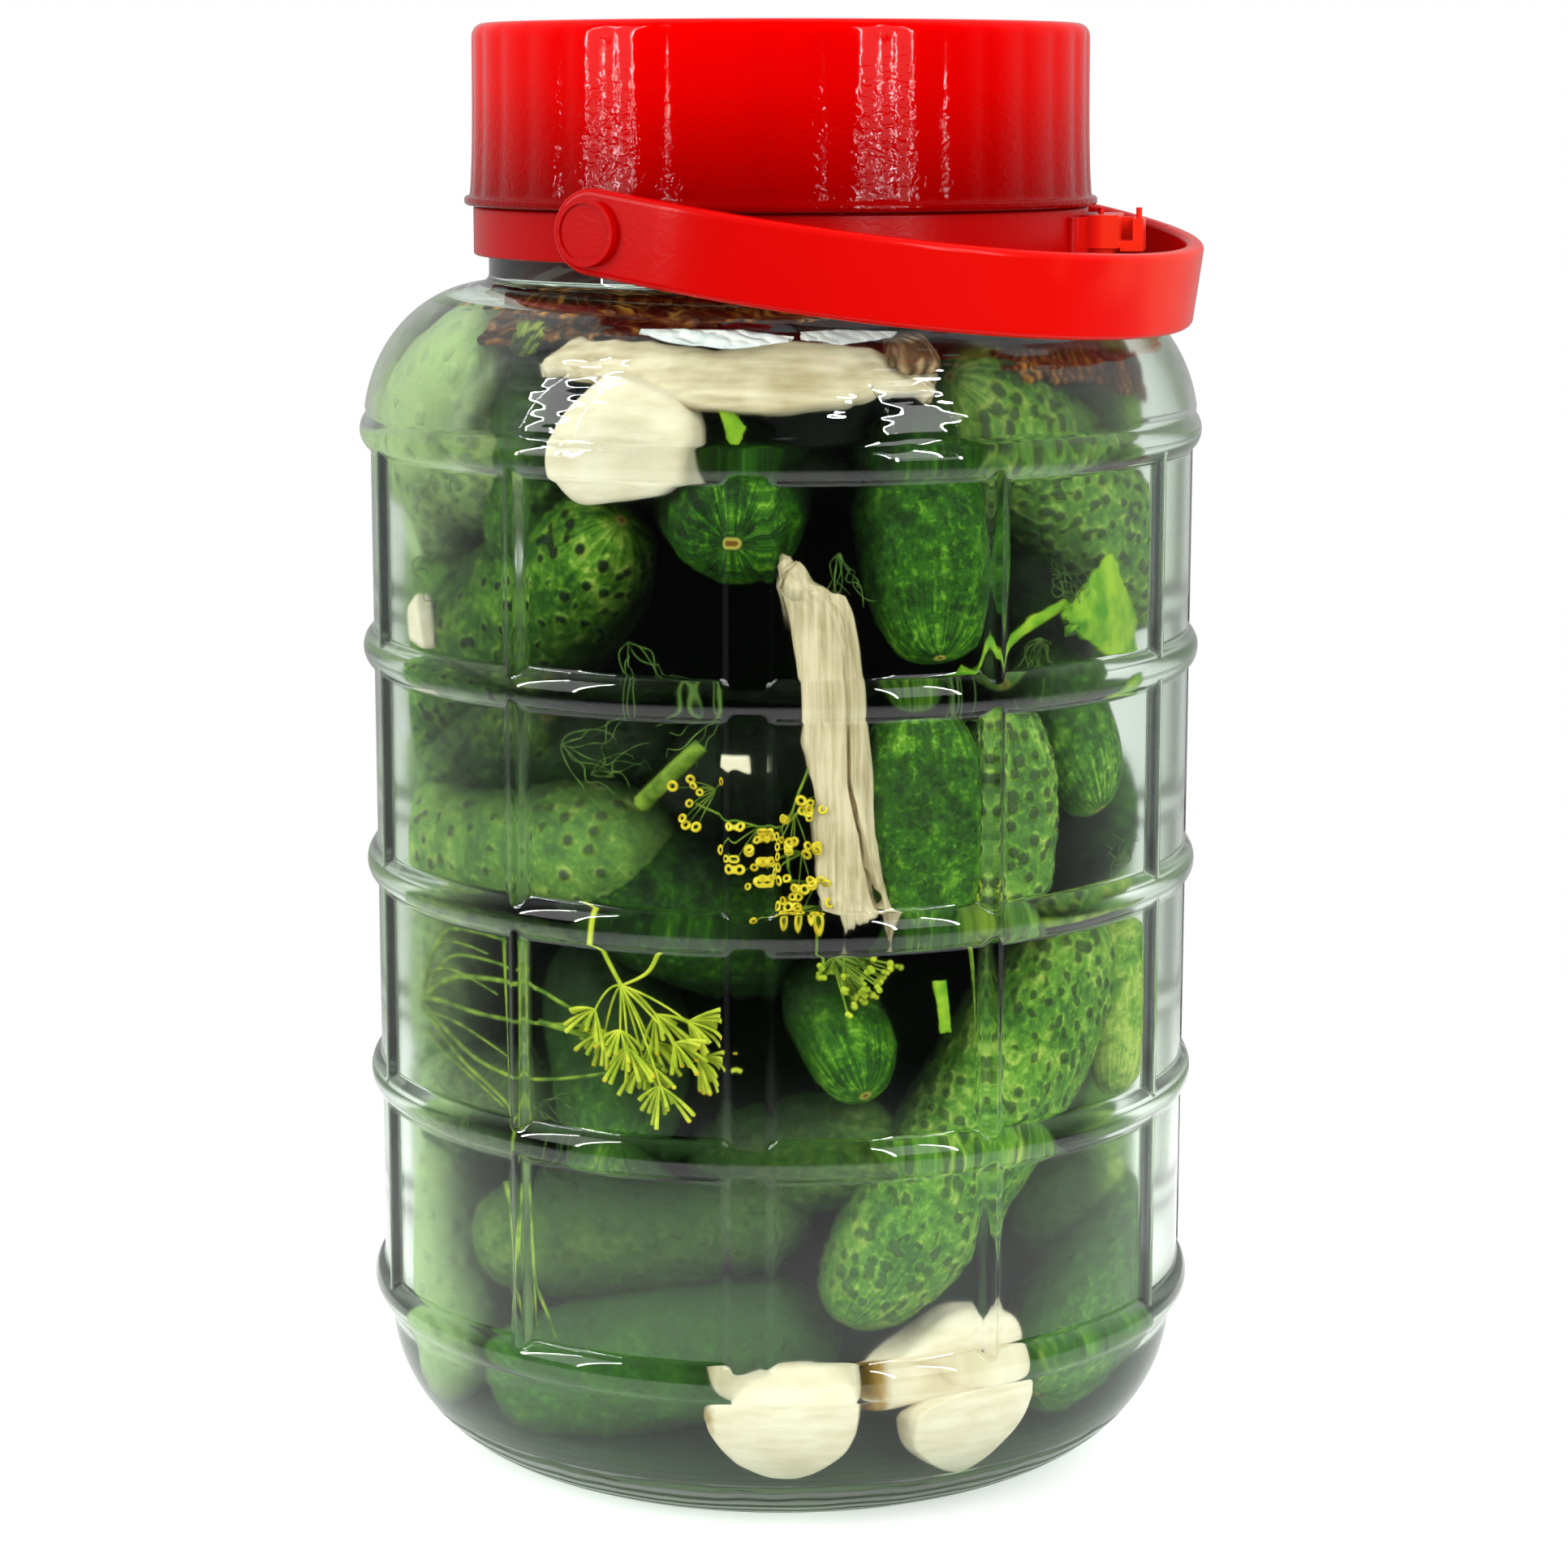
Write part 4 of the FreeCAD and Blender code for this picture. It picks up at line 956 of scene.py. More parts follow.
# %% [markdown]
# ## Horseradish
# Two long slices of peeled horseradish root, split lengthwise, with torn ends. A slice is a thin
# slab between two edge lines. It starts as a flat grid, is laid between the lines, frayed at its
# ends, and solidified to its thickness. The split in the upright one is a real gap between two.
# %% Shape of a slab
def shape_slab(edge_a, edge_b, thick, across=14, along=110, fray=1.5, wavy=0.5, seed=0.0, curl=0.0,
               top=level - 1.6):
    """A slab between two edge lines, each a list of (bearing, height, radius) from end to end.

    It is across by along squares fine. Its ends are frayed, its face ruffled by wavy and bowed by
    curl, all in mm; seed makes each slab its own, and top is as high as it may reach.
    """
    shape = bmesh.new()
    bmesh.ops.create_grid(shape, x_segments=across, y_segments=along, size=0.5)
    places = np.linspace(0, 1, len(edge_a))
    lines = [[np.interp(np.linspace(0, 1, 400), places, [p[k] for p in edge]) for k in range(3)]
             for edge in (edge_a, edge_b)]
    size = float(np.linalg.norm(spot(*edge_a[0]) - spot(*edge_a[-1])))
    for vert in shape.verts:
        u, v = vert.co.x + 0.5, vert.co.y + 0.5
        ragged = [noise.noise(Vector((u * 6, end * 9 + seed, 0))) * fray / size * 2 for end in (0, 1)]
        v_torn = v + (1 - v) ** 9 * ragged[0] + v ** 9 * ragged[1]
        step = min(max(v_torn, 0), 1) * 399
        low, share = min(int(step), 398), step - min(int(step), 398)
        a, b = ([line[k][low] * (1 - share) + line[k][low + 1] * share for k in range(3)] for line in lines)
        side = u + 0.03 * noise.noise(Vector((v * 14, u * 0.7, seed)))
        place = spot(*[a[k] * (1 - side) + b[k] * side for k in range(3)])
        bow = curl * (1 - (2 * u - 1) ** 2)
        ruffle = wavy * noise.noise(Vector((u * 4, v * 16, seed + 5)))
        ridge = 0.45 * noise.noise(Vector((u * 22, v * 3, seed + 9)))
        scale = 1 + (bow + ruffle + ridge) / max(np.hypot(place[0], place[1]), 1)
        vert.co = Vector((place[0] * scale, place[1] * scale, place[2] + ruffle * 0.5))
    middle = sum((vert.co for vert in shape.verts), Vector()) / len(shape.verts)
    shape.normal_update()
    outward = Vector((middle.x, middle.y, 0))
    if sum(f.normal.dot(outward) for f in shape.faces) < 0:
        bmesh.ops.reverse_faces(shape, faces=shape.faces)
    bmesh.ops.solidify(shape, geom=shape.faces[:], thickness=thick)
    bmesh.ops.recalc_face_normals(shape, faces=shape.faces)
    mesh = bpy.data.meshes.new("slab")
    shape.to_mesh(mesh)
    shape.free()
    points = press_to_glass(read_points(mesh), 0.3, top)
    mesh.vertices.foreach_set("co", (points * MM).ravel())
    return mesh


# %% Horseradish slices
LEFT_EDGE = [(-1, 224), (1, 214), (2, 204), (3, 192), (4, 180), (5, 170), (5, 160), (5, 152), (6, 147),
             (9, 142)]
SPLIT = [(1, 222), (6, 216), (8, 207), (9, 191), (9, 176), (10, 168), (11, 160), (12, 152), (13, 147),
         (14, 144)]
RIGHT_EDGE = [(9, 217), (10, 213), (11, 205), (12, 190), (13, 177), (14, 167), (15, 160), (17, 151),
              (18, 146), (19, 143)]
SLIT = [0, 0, 0.1, 0.3, 0.6, 0.8, 1.1, 1.4, 1.7, 2.2]     # how far the split gapes, in degrees
left = [(bearing, z, 89) for bearing, z in LEFT_EDGE]
split = [(bearing, z, 91) for bearing, z in SPLIT]
gaping = [(bearing + gap, z, 91) for (bearing, z), gap in zip(SPLIT, SLIT)]
right = [(bearing, z, 88) for bearing, z in RIGHT_EDGE]
upright = [shape_slab(left, split, thick=4, seed=1.0), shape_slab(gaping, right, thick=4, seed=2.0)]
standing_root = root_flesh("horseradish_upright", "#DAC8A8", "#9A8A62", "#9A8A62", 99, (900, 900, 45), 0.5)
joined_piece("horseradish_upright", upright, standing_root)
LOW_EDGE = [(-38, 263, 82), (-33, 264, 83), (-27, 262, 84), (-19, 259, 85), (-11, 257, 86), (-2, 256, 86),
            (9, 258, 86), (13, 261, 85), (17, 260, 84), (23, 259, 83)]
HIGH_EDGE = [(-38, 264, 81), (-35, 267, 78), (-27, 268, 78), (-20, 268, 78), (-10, 267, 79), (-1, 269, 78),
             (9, 268, 78), (14, 267, 78), (19, 264, 80), (23, 260, 82)]
lying = [shape_slab(LOW_EDGE, HIGH_EDGE, thick=3, across=16, along=130, seed=3.0)]
lying_root = root_flesh("horseradish_lying", "#E2D3B8", "#A8946E", "#A8946E", 99, (300, 45, 500), 0.5)
joined_piece("horseradish_lying", lying, lying_root)

# %% [markdown]
# ## Dill
# Dill went in whole: stalks, flowering heads and thread-like leaves. Stems and threads are curves
# with a round bevel, thick at the foot and thin at the tip, turned into a mesh. A head is an umbel:
# rays fan out from one point, and each carries a small fan of its own, with florets at its tips.
# %% Stems and threads
def bundle(name, strands, material):
    """A piece of many thin stems, each a list of places with its thickness in mm at both ends."""
    curve = bpy.data.curves.new(name, "CURVE")
    curve.dimensions = "3D"
    curve.bevel_depth = MM / 2
    curve.bevel_resolution = 1
    curve.resolution_u = 4
    curve.use_fill_caps = True
    for points, foot, tip in strands:
        spline = curve.splines.new("NURBS")
        spline.points.add(len(points) - 1)
        placed = press_to_glass(np.array(points, float), 0.4 + foot / 2)
        for i, place in enumerate(placed):
            share = i / (len(points) - 1)
            spline.points[i].co = (*(place * MM), 1)
            spline.points[i].radius = foot + (tip - foot) * share
        spline.order_u = 3
        spline.use_endpoint_u = True
    holder = bpy.data.objects.new(name, curve)
    mesh = bpy.data.meshes.new_from_object(holder)
    bpy.data.objects.remove(holder)
    return joined_piece(name, [mesh], material)


def curly(start, end, curl=2.0, steps=6):
    """Places from one spot to another by way of a wandering line."""
    start, end = np.array(start, float), np.array(end, float)
    way = [start + (end - start) * i / steps for i in range(steps + 1)]
    drift = np.zeros(3)
    for i in range(1, steps):
        drift = drift * 0.6 + np.array([rng.uniform(-1, 1) for _ in range(3)]) * curl
        way[i] = way[i] + drift
    return way


def fan(bearing, hub, count, angles, reach):
    """Ray tips that fan out from a hub; angles in degrees, anticlockwise from the right."""
    right, up, out = facing(bearing)
    tips = []
    for i in range(count):
        turn = math.radians(angles[0] + (angles[1] - angles[0]) * (i + rng.uniform(0.1, 0.9)) / count)
        length = rng.uniform(*reach)
        tip = hub + (right * math.cos(turn) + up * math.sin(turn)) * length + out * rng.uniform(-3, 2)
        tips.append(tip)
    return tips


# %% [markdown]
# Dill is plant tissue, matt and soft. Cured in brine its stems go olive, its rays and florets
# yellow, and only a fresh stalk stays bright. One recipe serves all of them: two tones that change
# in patches, whose size is one over the scale in metres (240 is 4 mm, 500 is 2 mm), so that a long
# stem isn't one flat colour.
# %% Dill finishes
def plant(name, low, high, scale):
    """Soft green plant tissue, paler and darker along its length."""
    material, tree, out = new_material(name)
    place = add(tree, "ShaderNodeTexCoord").outputs["Object"]
    patch = add(tree, "ShaderNodeTexNoise", {"Vector": place, "Scale": scale, "Detail": 3.0})
    colour = add(tree, "ShaderNodeValToRGB", {0: patch.outputs[0]},
                 [(0.35, linear(low)), (0.65, linear(high))])
    bump = add(tree, "ShaderNodeBump", {"Strength": 0.4, "Distance": 0.0003, "Height": patch.outputs[0]})
    tissue = add(tree, "ShaderNodeBsdfPrincipled", {
        "Base Color": colour.outputs[0], "Roughness": 0.45, "IOR": 1.4, "Specular IOR Level": 0.15,
        "Normal": bump.outputs[0]})
    tree.links.new(tissue.outputs[0], out.inputs["Surface"])
    return material


stem_green = plant("dill_stem", "#3F6016", "#86A034", 240)
ray_green = plant("dill_ray", "#94A827", "#C6CC3E", 260)
floret_yellow = plant("dill_floret", "#B79A12", "#E6D23C", 500)
stalk_green = plant("fresh_dill_stalk", "#4E8A16", "#93B52C", 160)
thread_green = plant("dill_thread", "#223C12", "#62823A", 300)

# %% [markdown]
# The big head hangs at the left, flowering. Eleven little fans droop from its hub, each given by
# its bearing, its height and the direction it opens in. A floret is a small ball, closed and with
# few faces, because there are scores of them.
# %% The big flowering head
HUB = spot(-23, 129, 88)
rays, florets = [], []
LITTLE_FANS = [(-27, 123, -125), (-23, 119, -100), (-18, 123, -60), (-13, 122, -30), (-15, 117, -45),
               (-20, 112, -75), (-17, 107, -90), (-12, 113, -40), (-26, 118, -115), (-19, 116, -65),
               (-22, 115, -90)]
for bearing, height, turn in LITTLE_FANS:
    hub = spot(bearing, height, 88 + rng.uniform(-2.5, 1.5))
    lift = (HUB + hub) / 2 + np.array([0, 0, rng.uniform(1, 4)])
    rays.append(([HUB, lift, hub], 0.65, 0.45))
    for tip in fan(bearing, hub, 12, (turn - 55, turn + 55), (4.5, 10.0)):
        rays.append(([hub, (hub + tip) / 2 + np.array([0, 0, 1.0]), tip], 0.35, 1.15))
        if rng.random() < 0.45:
            florets.append(tip)
rays.append(([HUB, spot(-20, 131, 88), spot(-18, 134, 88), spot(-17, 139, 88)], 0.6, 1.2))
rays.append(([spot(-30, 146, 84), spot(-27, 138, 87), HUB], 1.3, 1.0))
bundle("dill_head_rays", rays, ray_green)

# %% Florets
TILT = 0.7                          # radians


def scatter(name, blank, places, sizes, material):
    """Copies of one small shape, each turned at random; its own local z faces out of the jar."""
    made = []
    for place, size in zip(places, sizes):
        mesh = blank.copy()
        place = press_to_glass(np.array([place], float), 0.8)[0]
        out = Vector((place[0], place[1], 0)).to_track_quat("Z", "Y").to_matrix().to_4x4()
        nod = Matrix.Rotation(rng.uniform(-TILT, TILT), 4, "X")
        tilt = nod @ Matrix.Rotation(rng.uniform(-TILT, TILT), 4, "Y")
        mesh.transform(Matrix.Translation(Vector(place) * MM) @ out @ tilt @ Matrix.Scale(size, 4))
        made.append(mesh)
    return joined_piece(name, made, material)


bud = bmesh.new()
bmesh.ops.create_uvsphere(bud, u_segments=7, v_segments=5, radius=0.6 * MM)
bud_mesh = bpy.data.meshes.new("bud")
bud.to_mesh(bud_mesh)
bud.free()
scatter("dill_florets", bud_mesh, florets, [rng.uniform(0.6, 1.1) for _ in florets], floret_yellow)

# %% [markdown]
# The ripe head has yellow fruits that split and curl into little open rings, about 2 mm across.
# Each is a hexagon spun round an axis, the cheapest ring that still looks round.
# %% Seeds of the ripe head
cup = bmesh.new()
circle = bmesh.ops.create_circle(cup, segments=6, radius=0.36 * MM)["verts"]
bmesh.ops.rotate(cup, verts=circle, matrix=Matrix.Rotation(math.radians(90), 3, "X"))
bmesh.ops.translate(cup, verts=circle, vec=(0.85 * MM, 0, 0))
bmesh.ops.spin(cup, geom=cup.verts[:] + cup.edges[:], cent=(0, 0, 0), axis=(0, 0, 1),
               angle=math.tau, steps=10, use_merge=True)
bmesh.ops.recalc_face_normals(cup, faces=cup.faces)
cup_mesh = bpy.data.meshes.new("cup")
cup.to_mesh(cup_mesh)
cup.free()
ripe, ripe_stems = [], []
RIPE_HEADS = [((-11, 171), 9, 5), ((0, 166), 9, 4), ((-5, 163), 9, 3), ((1, 157), 14, 4), ((3, 150), 13, 4),
              ((4, 145), 11, 3), ((-3, 155), 8, 3), ((-1, 147), 7, 3), ((4, 170), 5, 2)]
raised = np.array([0, 0, 0.6])
for (bearing, height), count, spread in RIPE_HEADS:
    hub = spot(bearing + 2, height + 3, 86)
    for _ in range(count):
        tip = spot(bearing + rng.uniform(-1, 1) * spread, height + rng.uniform(-1, 1) * spread * 1.3, 89.5)
        ripe.append(tip)
        ripe_stems.append(([hub, (hub + tip) / 2 + raised, tip - raised], 0.3, 0.2))
LINKS = [((0, 166), (-7, 168)), ((1, 157), (0, 166)), ((3, 150), (1, 157)), ((-7, 168), (-12, 171)),
         ((0, 166), (4, 171)), ((5, 185), (1, 167)), ((6, 135), (4, 147))]
for start, end in LINKS:
    ripe_stems.append((curly(spot(*start, 87), spot(*end, 87), 0.5), 0.7, 0.5))
scatter("dill_seeds", cup_mesh, ripe, [rng.uniform(0.75, 1.15) for _ in ripe], floret_yellow)

# %% [markdown]
# Two more heads hang lower, still green. Their rays join the ripe head's stems in one piece.
# %% Two greener heads and the seed head's stems
GREEN_HEADS = [((7, 137), (-75, -5), 22, (8, 15)), ((28, 141), (15, 165), 26, (5, 11)),
               ((9, 139), (-140, -40), 12, (5, 9))]
low_heads = []
for (bearing, height), angles, count, reach in GREEN_HEADS:
    hub = spot(bearing, height, 86)
    for tip in fan(bearing, hub, count, angles, reach):
        ripe_stems.append(([hub, (hub + tip) / 2 + np.array([0, 0, 0.7]), tip], 0.4, 0.45))
        low_heads += [tip, tip + np.array([rng.uniform(-1, 1), rng.uniform(-1, 1), rng.uniform(-1, 1)])]
bundle("dill_seed_stems", ripe_stems, stem_green)
scatter("dill_green_florets", bud_mesh, low_heads, [rng.uniform(0.8, 1.5) for _ in low_heads], ray_green)

# %% [markdown]
# Stalks are given by the places they pass (bearing, height and radius) and by how thick they are
# at the foot and at the tip, in mm. Those at the left come out of the pack to the flowering head.
# %% Stalks
STALKS = [
    ([(-78, 112, 74), (-62, 122, 81), (-50, 125, 84), (-38, 126, 86),
      (-33, 123, 87), (-27, 120, 88)], 1.6, 0.8),
    ([(-78, 112, 74), (-64, 116, 81), (-52, 116, 84), (-38, 117, 86), (-28, 119, 87)], 1.4, 0.8),
    ([(-78, 111, 74), (-62, 109, 81), (-50, 104, 84), (-38, 103, 86), (-24, 109, 87)], 1.3, 0.7),
    ([(-78, 113, 74), (-66, 132, 80), (-52, 136, 84), (-43, 135, 86)], 1.4, 0.8),
    ([(-78, 112, 74), (-64, 126, 80), (-52, 130, 84), (-42, 129, 86)], 1.1, 0.7),
    ([(-78, 110, 74), (-60, 104, 81), (-46, 99, 85), (-40, 93, 86)], 1.2, 0.7),
    ([(-80, 120, 74), (-66, 129, 80), (-56, 132, 83), (-48, 131, 85)], 0.9, 0.5),
    ([(-80, 116, 74), (-66, 123, 80), (-56, 125, 83), (-46, 122, 85)], 0.9, 0.5),
    ([(-80, 108, 74), (-66, 112, 80), (-54, 112, 83), (-44, 108, 85)], 0.9, 0.5),
    ([(-80, 104, 74), (-66, 104, 80), (-54, 101, 83), (-45, 96, 85)], 0.9, 0.5),
    ([(-44, 136, 86), (-43, 118, 87), (-42, 100, 87), (-42, 84, 86)], 1.2, 0.8),
    ([(-37, 118, 87), (-30, 117, 87), (-22, 113, 87), (-17, 111, 87)], 1.5, 0.7),
    ([(-45, 78, 84), (-41, 66, 87), (-39, 57, 88), (-39, 46, 87)], 2.4, 1.6),
    ([(-39, 58, 88), (-36, 52, 88), (-35, 44, 86)], 1.1, 0.6),
    ([(-39, 58, 88), (-42, 50, 87), (-43, 43, 85)], 1.1, 0.6),
    ([(27, 139, 90), (28, 128, 90), (29, 114, 88)], 1.1, 0.5),
    ([(19, 141, 89), (38, 141, 85), (56, 142, 82), (73, 140, 76)], 2.0, 1.6),
    ([(-22, 169, 78), (-17, 176, 82), (-12, 183, 80)], 4.0, 3.6),
]
stalks = [([spot(*place) for place in places], foot, tip) for places, foot, tip in STALKS]
bundle("dill_stalks", stalks, stem_green)

# %% [markdown]
# One stalk is still fresh: a flat bright green band that runs into a fan-like sheath. Two scraps
# of the same green lie elsewhere. All four are thin slabs, and the band and the sheath are bowed a little.
# %% Fresh stalk
band = shape_slab([(24, 195, 86), (31, 200, 86), (37, 206, 86), (44, 210, 85), (51, 210, 84)],
                  [(27, 197, 86), (33, 205, 86), (38, 210, 86), (45, 213, 85), (51, 212, 84)],
                  thick=1.6, across=5, along=40, fray=0.3, wavy=0.3, seed=4.0, curl=0.6)
sheath = shape_slab([(44, 210, 87), (50, 217, 86), (57, 224, 84), (64, 231, 80)],
                    [(45, 207, 87), (52, 201, 86), (60, 195, 83), (70, 190, 78)],
                    thick=1.4, across=18, along=60, fray=4.0, wavy=0.9, seed=5.0, curl=1.2)
low_scrap = shape_slab([(22.2, 130, 88), (22.6, 124, 88), (23, 118, 88)],
                       [(24, 130, 88), (24.4, 124, 88), (24.8, 118, 88)],
                       thick=1.0, across=5, along=20, fray=0.2, wavy=0.2, seed=6.0)
high_scrap = shape_slab([(-9, 257, 84), (-8, 253, 85), (-7, 249, 85)],
                        [(-7, 256, 84), (-5, 253, 85), (-6, 249, 85)],
                        thick=1.0, across=5, along=20, fray=0.4, wavy=0.3, seed=7.0)
fresh = [band, sheath, low_scrap, high_scrap]
joined_piece("dill_fresh_stalk", fresh, stalk_green)

# %% [markdown]
# Dill's leaves are threads a third of a millimetre thick, in tufts. A tuft is given by its place,
# how many threads it has, the directions they fan out in and how long they are.
# %% Threads
TUFTS = [((47, 212), 13, (60, 150), (7, 14)), ((40, 205), 9, (-140, -50), (6, 13)),
         ((-33, 182), 7, (-60, 40), (12, 20)), ((-22, 206), 6, (-110, -30), (10, 18)),
         ((-8, 193), 9, (150, 250), (10, 20)), ((-28, 176), 5, (-20, 60), (10, 18)),
         ((-66, 216), 8, (-30, 30), (10, 18)), ((-50, 92), 12, (120, 250), (8, 18)),
         ((-40, 98), 9, (-90, 20), (8, 18)), ((22, 148), 10, (30, 100), (8, 18)),
         ((62, 150), 8, (100, 220), (6, 14)), ((26, 198), 9, (200, 300), (8, 14)),
         ((8, 226), 8, (-120, -40), (8, 16))]
threads = []
for (bearing, height), count, angles, reach in TUFTS:
    hub = spot(bearing, height, 86)
    threads += [(curly(hub, tip, 2.2), 0.34, 0.14) for tip in fan(bearing, hub, count, angles, reach)]
bundle("dill_threads", threads, thread_green)

# %% [markdown]
# ## Leaves and scraps
# Under the shoulder float browned horseradish leaves, an olive scrap, a tan bit of root and two
# pure white shreds, which are a painted reflection: they stand for glints of light near the
# brine's surface. They are thin slabs like the slices, but crumpled more, and all but the white
# shreds are stained by the brine to amber and brown.
# %% Brown leaves
def stained_leaf(name, dark, middle, light):
    """Leaf stained by brine: lighter between dark folds 14 mm wide and veins 2.4 mm apart."""
    material, tree, out = new_material(name)
    place = add(tree, "ShaderNodeTexCoord").outputs["Object"]
    bent = add(tree, "ShaderNodeTexNoise", {"Vector": place, "Scale": 70.0, "Detail": 4.0, "Distortion": 1.6})
    colour = add(tree, "ShaderNodeValToRGB", {0: bent.outputs[0]}, [
        (0.38, linear(dark)), (0.5, linear(middle)), (0.66, linear(light))])
    vein = add(tree, "ShaderNodeTexWave", {"Vector": place, "Scale": 130.0, "Distortion": 9.0, "Detail": 2.0})
    veined = add(tree, "ShaderNodeMix", {0: vein.outputs["Fac"], 6: colour.outputs[0], 7: linear(dark)},
                 data_type="RGBA")
    bump = add(tree, "ShaderNodeBump", {"Strength": 0.8, "Distance": 0.0008, "Height": vein.outputs["Fac"]})
    leaf = add(tree, "ShaderNodeBsdfPrincipled", {
        "Base Color": veined.outputs[2], "Roughness": 0.4, "IOR": 1.4, "Specular IOR Level": 0.2,
        "Normal": bump.outputs[0]})
    tree.links.new(leaf.outputs[0], out.inputs["Surface"])
    return material


brown_leaf = stained_leaf("browned_leaf", "#160C04", "#6A3C10", "#C4883A")
olive_leaf = stained_leaf("olive_leaf", "#1E280A", "#566818", "#8A9632")
# painted reflection: the shreds are white all over, standing for glints of light near the brine's surface
papery_peel = stained_leaf("white_shreds_painted_glint", "#DCE0E2", "#FFFFFF", "#FFFFFF")
tan_root = stained_leaf("tan_root_skin", "#4E3620", "#A07C56", "#CDB08A")

# %% Crumpled leaves
SOAKED = [
    ([(-66, 267, 76), (-54, 266, 80), (-44, 267, 80), (-34, 268, 76), (-25, 268, 75), (-17, 269, 74)],
     [(-66, 271, 66), (-52, 272, 66), (-40, 272, 64), (-30, 272, 63), (-22, 272, 62), (-16, 272, 62)],
     dict(across=18, along=60, fray=5.0, wavy=2.5, seed=8.0)),
    ([(-58, 268, 70), (-44, 270, 74), (-30, 271, 74)], [(-56, 272, 52), (-42, 272, 52), (-28, 272, 52)],
     dict(across=14, along=36, fray=4.0, wavy=3.0, seed=9.0)),
    ([(36, 260, 80), (48, 259, 80), (60, 256, 79), (74, 252, 77), (84, 250, 74)],
     [(36, 265, 76), (48, 264, 76), (60, 262, 76), (74, 258, 74), (84, 254, 71)],
     dict(across=12, along=60, fray=3.0, wavy=2.0, seed=10.0)),
]
AFLOAT = [
    ([(-72, 271, 76), (-50, 272, 77), (-30, 273, 77), (-10, 272, 77)],
     [(-72, 276, 62), (-50, 279, 60), (-30, 278, 60), (-10, 279, 60)], 14.0),
    ([(-16, 272, 77), (10, 273, 77), (40, 272, 77), (62, 272, 77), (88, 271, 76)],
     [(-16, 279, 60), (10, 278, 60), (40, 279, 60), (62, 278, 60), (88, 276, 62)], 15.0),
]
FLOAT_TOP = 280
crumpled = [shape_slab(low, high, thick=1.2, **shape) for low, high, shape in SOAKED]
crumpled += [shape_slab(low, high, thick=1.0, across=16, along=90, fray=4.0, wavy=2.2, seed=seed,
                        top=FLOAT_TOP) for low, high, seed in AFLOAT]
joined_piece("browned_leaves", crumpled, brown_leaf)

# %% Scraps, and white shreds as painted reflection
scrap = shape_slab([(-45, 266, 82), (-42, 265, 83), (-39, 266, 83)],
                   [(-46, 271, 79), (-42, 272, 79), (-39, 271, 79)],
                   thick=1.0, across=8, along=14, fray=1.0, wavy=1.0, seed=11.0)
joined_piece("olive_scrap", [scrap], olive_leaf)
# painted reflection: two pure white shreds near the brine's surface stand for glints of light on it
long_peel = shape_slab([(-22, 270.8, 81), (-15, 269.2, 83), (-7, 268.6, 84), (1, 269.9, 83)],
                       [(-22, 271.4, 80), (-15, 271.5, 79), (-6, 271.5, 79), (2, 270.6, 82)],
                       thick=0.5, across=8, along=40, fray=1.0, wavy=0.25, seed=12.0)
short_peel = shape_slab([(3, 270.4, 82), (9, 269.4, 83), (17, 270.6, 82)],
                        [(3, 271.3, 80), (9, 271.5, 79), (18, 271.2, 81)],
                        thick=0.5, across=8, along=30, fray=1.0, wavy=0.25, seed=13.0)
joined_piece("painted_glint_shreds", [long_peel, short_peel], papery_peel)
ROOT_END = [(0, 100, 0, 3.5), (70, 70, 0, 5), (100, 0, 0, 6), (0, -100, 0, 3.5), (-70, -70, 0, 5),
            (-100, 0, 0, 5.5), (0, 0, 100, 3), (0, 0, -100, 4)]
CLOVE_FOOT = [(0, 100, 0, 2.2), (100, 0, 0, 2.5), (0, -100, 0, 2.2), (-100, 0, 0, 2.5), (0, 0, 100, 2.5),
              (0, 0, -100, 4)]
lumps = [shape_block((20, 266, 80), ROOT_END, softness=7, dents=1.2, fineness=4),
         shape_block((46, 28, 80), CLOVE_FOOT, softness=8, dents=0.6, fineness=3)]
joined_piece("tan_scraps", lumps, tan_root)

# %% [markdown]
# ## Red plastics
# The lid, collar and handle are injection-moulded polypropylene. The lid is turned like a pot on a
# lathe: one outline spun round the axis. Its 36 grip lobes are so shallow that they only show as
# upright changes of tone, so they are pushed into the spun skirt afterwards, one share of a turn
# repeated all round. The collar and handle keep their CAD shapes.
# %% Lid
lid_low, lid_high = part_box("lid")
LOBES = 36
LOBE_DEPTH = 0.55
FIRST_CREASE = 8.5                  # degrees anticlockwise from +X
LID_FOOT_R = 73.3
LID_HEAD_R = 72.4
FLANGE_R = 74.6
THREAD_R = 71.1                     # inside of the skirt, where the thread would be
LID_THICK = 2.4
SKIRT_STEP = 3.1
foot_z, head_z = lid_low.z / MM, lid_high.z / MM
under_z = head_z - LID_THICK


def skirt_r(z):
    """Radius of the skirt, which flares a little towards its foot."""
    return LID_HEAD_R + (LID_FOOT_R - LID_HEAD_R) * math.exp(-(z - foot_z - 2) / 10)


lid_outline = [(0, under_z), (THREAD_R - 1, under_z), (THREAD_R, under_z - 1), (THREAD_R, foot_z + 0.4)]
lid_outline += [(THREAD_R + 0.4, foot_z), (FLANGE_R - 0.5, foot_z), (FLANGE_R, foot_z + 0.5)]
lid_outline += [(FLANGE_R, foot_z + 1.5), (FLANGE_R - 0.4, foot_z + 2)]
lid_outline += [(LID_FOOT_R + 0.3, foot_z + 2.1), (LID_FOOT_R, foot_z + 2.5)]
skirt_heights = [foot_z + 3.5 + SKIRT_STEP * i for i in range(12)]
lid_outline += [(skirt_r(z), z) for z in skirt_heights]
lid_outline += arc_points((LID_HEAD_R - 3, head_z - 3), (3, 3), 0, 90, 6)
lid_outline += [(LID_HEAD_R - 6, head_z), (LID_HEAD_R - 6.6, head_z - 0.3)]
lid_outline += [(LID_HEAD_R - 7, head_z - 1), (0, head_z - 1)]
lid_shape = spin_profile(lid_outline, 8, LOBES)
